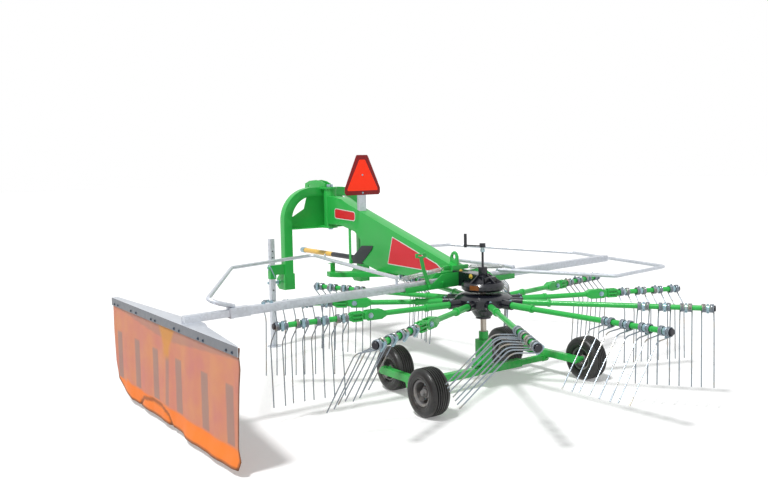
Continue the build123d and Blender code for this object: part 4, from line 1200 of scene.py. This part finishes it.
def add_hoop_ring():
    ring = bmesh.new()
    add_loop(ring, at(1.93, 0.386, 0.9755), Vector((0.6, -0.8, 0)), Vector((0, 0, 1)), 0.0145, 0.0038, 24)
    mesh_piece("hoop_ring", ring, "galvanised_steel", "left_guard")


def add_stand_details():
    """Locking pin of the stand, and black discs of painted shade in the holes down its leg."""
    low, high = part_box("stand_leg")
    face_x = low.x - 0.006
    pin = bmesh.new()
    add_tube(pin, rounded_path([
        (low.x + 0.02, high.y + 0.008, 0.79), (low.x + 0.02, high.y + 0.03, 0.82),
        (face_x - 0.012, high.y + 0.02, 0.845), (face_x - 0.016, high.y - 0.036, 0.715)], 0.012), 0.0055, 10)
    mesh_piece("stand_pin", pin, "zinc_plate", "headstock")
    # Black discs in the holes stand in for the shade inside them
    holes = bmesh.new()
    for z in LEG_HOLES:
        add_revolved(holes, [(0.008, 0.0002), (0.0078, 0.0006), (0.0001, 0.0006), (0.0001, 0.0002)],
                     move(low.x, (low.y + high.y) / 2, z) @ turn(-90, "Y"), 20)
    mesh_piece("leg_hole_shades", holes, "black_plastic", "stand")


def add_gearbox_plugs():
    plugs = bmesh.new()
    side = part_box("gearbox")[1].y
    for x, y, z, axis, radius in ((0.08, side, 0.922, turn(-90, "X"), 0.017),
                                  (0.25, side - 0.03, 0.95, Matrix.Identity(4), 0.012)):
        place = move(at(x, 0).x, y, z) @ axis
        rim = radius + 0.004
        add_revolved(plugs, [(0.0001, 0), (rim, 0), (rim, 0.004), (radius, 0.005)], place, 24, False)
        add_drum(plugs, radius * 0.7, 0.004, 0.014, place, 6)
    mesh_piece("gearbox_plugs", plugs, "brass_cap", "frame")


def add_cover_label():
    """Blank plate bent round the gear cover."""
    label = bmesh.new()
    face_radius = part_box("gear_cover")[1].x - ROTOR.x + LABEL_LAYER
    rings = []
    for k in range(COVER_LABEL_STEPS + 1):
        angle = math.radians(COVER_LABEL_START + COVER_LABEL_SWEEP * k / COVER_LABEL_STEPS)
        rings.append([label.verts.new(at((face_radius - depth) * math.cos(angle),
                                         (face_radius - depth) * math.sin(angle), z))
                      for depth, z in COVER_LABEL])
    add_rings(label, rings, closed=False)
    bmesh.ops.recalc_face_normals(label, faces=label.faces)
    mesh_piece("cover_label", label, "orange_label", "frame")


def add_crank_ring():
    lock = bmesh.new()
    add_revolved(lock, [(0.0125, -0.018), (0.019, -0.016), (0.019, 0.004), (0.0155, 0.008), (0.0155, 0.024),
                        (0.0125, 0.026)], Matrix.Translation(at(0, 0, 1.145)), 24)
    mesh_piece("crank_ring", lock, "zinc_plate", "frame")


class RAKE_OT_fittings(bpy.types.Operator):
    """Add the blank labels, sleeve, ring, pin, painted shade of the leg's holes, plugs and collar of the
    small fittings
    """

    bl_idname = "rake.fittings"
    bl_label = "Add Small Fittings"

    def execute(self, context):
        add_boom_labels()
        add_beam_sleeve()
        add_hoop_ring()
        add_stand_details()
        add_gearbox_plugs()
        add_cover_label()
        add_crank_ring()
        return {"FINISHED"}


# Half of the sign's bright panel as (across, up) points from the middle of the triangle's foot, and the
# heights of its bolts
SIGN_PANEL = [(0.166, 0.043), (0.174, 0.05), (0.172, 0.066), (0.036, 0.34), (0.027, 0.347)]
SIGN_BOLTS = (0.022, 0.197)


class RAKE_OT_warning_sign(bpy.types.Operator):
    """Lay the bright panel on the dark-edged warning triangle"""

    bl_idname = "rake.warning_sign"
    bl_label = "Build Warning Sign"

    def execute(self, context):
        dressed("warning_triangle", "frame", "dark_red_paint", 0.001)
        low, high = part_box("warning_triangle")
        middle_y = (low.y + high.y) / 2
        half = [(y, low.z + z) for y, z in SIGN_PANEL]
        facing_back = Matrix(((0, 0, -1, 0), (1, 0, 0, 0), (0, 1, 0, 0), (0, 0, 0, 1)))
        bm = bmesh.new()
        outline = half + [(-y, z) for y, z in reversed(half)]
        add_plate(bm, outline, 0.0006, move(low.x, middle_y, 0) @ facing_back, 0.0)
        mesh_piece("sign_panel", bm, "red_reflector", "frame")
        spots = [(Vector((low.x - 0.001, middle_y, low.z + z)), (-1, 0, 0)) for z in SIGN_BOLTS]
        bolts("sign_bolts", spots, "frame", radius=0.006, height=0.004, washer=0.009)
        return {"FINISHED"}


# Curtain, from the rotor's axis: X of its rear top corner and length of its top
CURTAIN_START = -0.68
CURTAIN_LENGTH = 2.485
# X and Z of its foot, and by height how far its rear end lies off the straight line
CURTAIN_FOOT = [
    (-0.66, 0.045), (-0.1, 0.04), (0.5, 0.045), (1.374, 0.045), (1.56, 0.084), (1.72, 0.15), (1.768, 0.29)]
CURTAIN_END = [
    (0.03, 0.034), (0.11, -0.005), (0.172, 0.036), (0.36, 0.022), (0.485, 0.008), (0.67, -0.006),
    (0.736, 0.012), (0.796, 0.0)]
# X of the stiffeners' middles, half of their width, the fold in the band, the depth of the rail's shade by
# X, X of the flange's bolts, and the cloth's faces along and down
STIFFENERS = (-0.51, -0.11, 0.355, 0.82, 1.23, 1.66)
STIFFENER_HALF = 0.062
CREASE = [(1.197, 0.06), (1.1, 0.12), (0.9, 0.147), (0.7, 0.144), (0.56, 0.11), (0.505, 0.05)]
RAIL_SHADE = [(-0.68, 0.012), (0.0, 0.055), (0.42, 0.085), (0.75, 0.08), (1.3, 0.035), (1.7, 0.0)]
FLANGE_BOLTS = (-0.586, -0.498, -0.134, -0.049, 0.291, 0.387, 0.773, 0.859, 1.201, 1.322, 1.653, 1.74)
CLOTH_ACROSS = 196
CLOTH_DOWN = 62


def between(table, x):
    """Value at x from rising (x, value) pairs."""
    if x <= table[0][0]:
        return table[0][1]
    for (x0, y0), (x1, y1) in zip(table, table[1:]):
        if x <= x1:
            return y0 + (y1 - y0) * (x - x0) / (x1 - x0)
    return table[-1][1]


def smooth(low, high, x):
    """0 at low, 1 at high, with a soft start and end."""
    share = min(max((x - low) / (high - low), 0.0), 1.0)
    return share * share * (3 - 2 * share)


def near(line, x, z, reach):
    """1 on a line of (x, z) points, falling to 0 at a distance."""
    best = reach
    for (x0, z0), (x1, z1) in zip(line, line[1:]):
        length = math.hypot(x1 - x0, z1 - z0)
        share = min(max(((x - x0) * (x1 - x0) + (z - z0) * (z1 - z0)) / length ** 2, 0.0), 1.0)
        best = min(best, math.hypot(x - x0 - share * (x1 - x0), z - z0 - share * (z1 - z0)))
    return 1 - best / reach


def curtain_point(u, v, top, size):
    """Point of the curtain from its shares along and down, and its marks."""
    x_top = CURTAIN_START + CURTAIN_LENGTH * u
    x_foot = CURTAIN_FOOT[0][0] + (CURTAIN_FOOT[-1][0] - CURTAIN_FOOT[0][0]) * u ** 0.94
    z_foot = between(CURTAIN_FOOT, x_foot)
    x = x_top + (x_foot - x_top) * v
    z = top + (z_foot - top) * v
    x += between(CURTAIN_END, z) * max(0.0, 1 - u / 0.05)
    # Bulge between the stiffeners, kicked-out foot and fold of the lower band
    edge = z_foot + size.band if x < 1.5 else 0.165
    gap = min(abs(x - middle_x) for middle_x in STIFFENERS) - STIFFENER_HALF
    bulge = size.wave * smooth(0.74, 0.5, z) * smooth(0.0, 0.12, gap)
    share = smooth(edge, z_foot, z)
    kick = share * (0.003 + 0.026 * smooth(0.36, 0.12, x)) * smooth(CURTAIN_START, -0.56, x)
    crease = near(CREASE, x, z, 0.034)
    fold = 0.014 * smooth(0.0, 1.0, crease) * share
    # What shows through: stiffeners, the rail's edge, the strut and one more line
    # Painted shade where the stiffeners and one more line lie behind the cloth, the painted shadow of the
    # rail's edge, and the painted tint where the strut lies behind
    painted_shade = smooth(0.0, -0.012, gap) * smooth(edge, edge + 0.008, z) * smooth(0.55, 0.538, z)
    rail_shadow_edge = 0.735 - between(RAIL_SHADE, x)
    painted_shade = max(painted_shade, 0.62 * smooth(rail_shadow_edge - 0.006, rail_shadow_edge + 0.006, z))
    strut_half = 0.085 + 0.75 * max(0.0, z - 0.6)
    strut = 0.9 * smooth(strut_half, strut_half - 0.06, abs(x - 0.57)) * smooth(0.49, 0.56, z)
    line = smooth(0.042, 0.02, abs(x - 0.6 + 0.1 * z)) * smooth(edge, edge + 0.02, z) * smooth(0.56, 0.5, z)
    painted_shade = max(painted_shade, 0.85 * line)
    # Dark seams at the foot and at the rear end, and painted shade along the crease
    hem = smooth(0.02, 0.008, z - z_foot) + smooth(0.02, 0.008, CURTAIN_LENGTH * u)
    hem = min(1.0, hem + 0.75 * smooth(0.35, 0.8, crease))
    point = Vector((x, bulge + kick - fold, z))
    return point, (smooth(edge + 0.006, edge - 0.006, z), hem, 0.0), (painted_shade, strut, 0.0)


def cloth_mesh(low, high, face_y, size):
    """Front face of the cloth, with its UV map and its marks."""
    bm = bmesh.new()
    uv = bm.loops.layers.uv.new("UVMap")
    band = bm.verts.layers.float_color.new("band")
    # Painted shade of the stiffeners and the rail, and the strut's painted tint
    painted_shade = bm.verts.layers.float_color.new("painted_shade")
    grid = []
    for j in range(CLOTH_DOWN + 1):
        row = []
        for i in range(CLOTH_ACROSS + 1):
            point, bands, painted_marks = curtain_point(i / CLOTH_ACROSS, j / CLOTH_DOWN, high.z, size)
            vert = bm.verts.new(at(point.x, face_y + point.y, point.z))
            vert[band] = (*bands, 1)
            vert[painted_shade] = (*painted_marks, 1)
            row.append(vert)
        grid.append(row)
    for above, below in zip(grid, grid[1:]):
        for i in range(CLOTH_ACROSS):
            face = bm.faces.new((above[i], below[i], below[i + 1], above[i + 1]))
            for loop in face.loops:
                place = (loop.vert.co - low) / (high.z - low.z)
                loop[uv].uv = (place.x, place.z)
    return to_mesh("curtain_cloth", bm)


class RAKE_OT_curtain(bpy.types.Operator):
    """Hang the cloth curtain with its stiffener strips and bolts"""

    bl_idname = "rake.curtain"
    bl_label = "Hang Curtain"

    def execute(self, context):
        low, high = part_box("swath_curtain")
        face_y = (low.y + high.y) / 2 - 0.001 - ROTOR.y
        mesh = cloth_mesh(low, high, face_y, context.scene.rake_curtain)
        cloth = link_piece("curtain_cloth", mesh, "orange_cloth", "curtain", 80,
                           ("swath_curtain",))
        wall = cloth.modifiers.new("Thickness", "SOLIDIFY")
        wall.thickness = 0.0025
        wall.offset = 0.0
        strips = bmesh.new()
        for x in STIFFENERS:
            place = Matrix.Translation(at(x, face_y - 0.0033, 0.372))
            add_block(strips, (2 * STIFFENER_HALF, 0.0028, 0.4), place, 0.0008)
        mesh_piece("curtain_stiffeners", strips, "stiffener_grey", "curtain")
        # The rail's flange faces toward +Y take the darkened galvanised finish, and its bolts the darker
        # zinc: painted shade
        rail = bpy.data.objects["curtain_rail_skin"].data
        rail.materials.append(FINISHES["galvanised_painted_shade"])
        for face in rail.polygons:
            if face.normal.y > 0.8 and face.center.y > low.y:
                face.material_index = 1
        flange_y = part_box("curtain_rail")[1].y - ROTOR.y
        bolts("flange_bolts", [(at(x, flange_y, 0.757), (0, 1, 0)) for x in FLANGE_BOLTS], "curtain",
              radius=0.0085, height=0.006, washer=0.012, finish="dark_zinc_painted_shade")
        return {"FINISHED"}


class RAKE_PT_panel(bpy.types.Panel):
    """Sidebar panel of the rotary rake"""

    bl_label = "Rotary Rake"
    bl_idname = "RAKE_PT_panel"
    bl_space_type = "VIEW_3D"
    bl_region_type = "UI"
    bl_category = "Rotary Rake"

    def draw(self, context):
        layout = self.layout
        for group in PROPERTY_GROUPS:
            box = layout.box()
            for name in PROPERTY_GROUPS[group].__annotations__:
                box.prop(getattr(context.scene, group), name)
        for operator in OPERATORS:
            layout.operator(operator.bl_idname)


PROPERTY_GROUPS = {
    "rake_finish": RakeFinish,
    "rake_tines": RakeTines,
    "rake_curtain": RakeCurtain,
    "rake_wheels": RakeWheels,
}
OPERATORS = (
    RAKE_OT_finishes, RAKE_OT_stage, RAKE_OT_skins, RAKE_OT_tine_arms, RAKE_OT_arm_hinges, RAKE_OT_rotor_hub,
    RAKE_OT_wheels, RAKE_OT_guard_springs, RAKE_OT_fittings, RAKE_OT_warning_sign, RAKE_OT_curtain,
)


def register():
    for name, group in PROPERTY_GROUPS.items():
        bpy.utils.register_class(group)
        setattr(bpy.types.Scene, name, bpy.props.PointerProperty(type=group))
    for operator in OPERATORS:
        bpy.utils.register_class(operator)
    bpy.utils.register_class(RAKE_PT_panel)


def unregister():
    bpy.utils.unregister_class(RAKE_PT_panel)
    for operator in reversed(OPERATORS):
        bpy.utils.unregister_class(operator)
    for name, group in PROPERTY_GROUPS.items():
        delattr(bpy.types.Scene, name)
        bpy.utils.unregister_class(group)


def main():
    register()
    bpy.ops.rake.finishes()
    bpy.ops.rake.stage()
    bpy.ops.rake.skins()
    bpy.ops.rake.tine_arms()
    bpy.ops.rake.arm_hinges()
    bpy.ops.rake.rotor_hub()
    bpy.ops.rake.wheels()
    bpy.ops.rake.guard_springs()
    bpy.ops.rake.fittings()
    bpy.ops.rake.warning_sign()
    bpy.ops.rake.curtain()


if __name__ == "__main__":
    main()
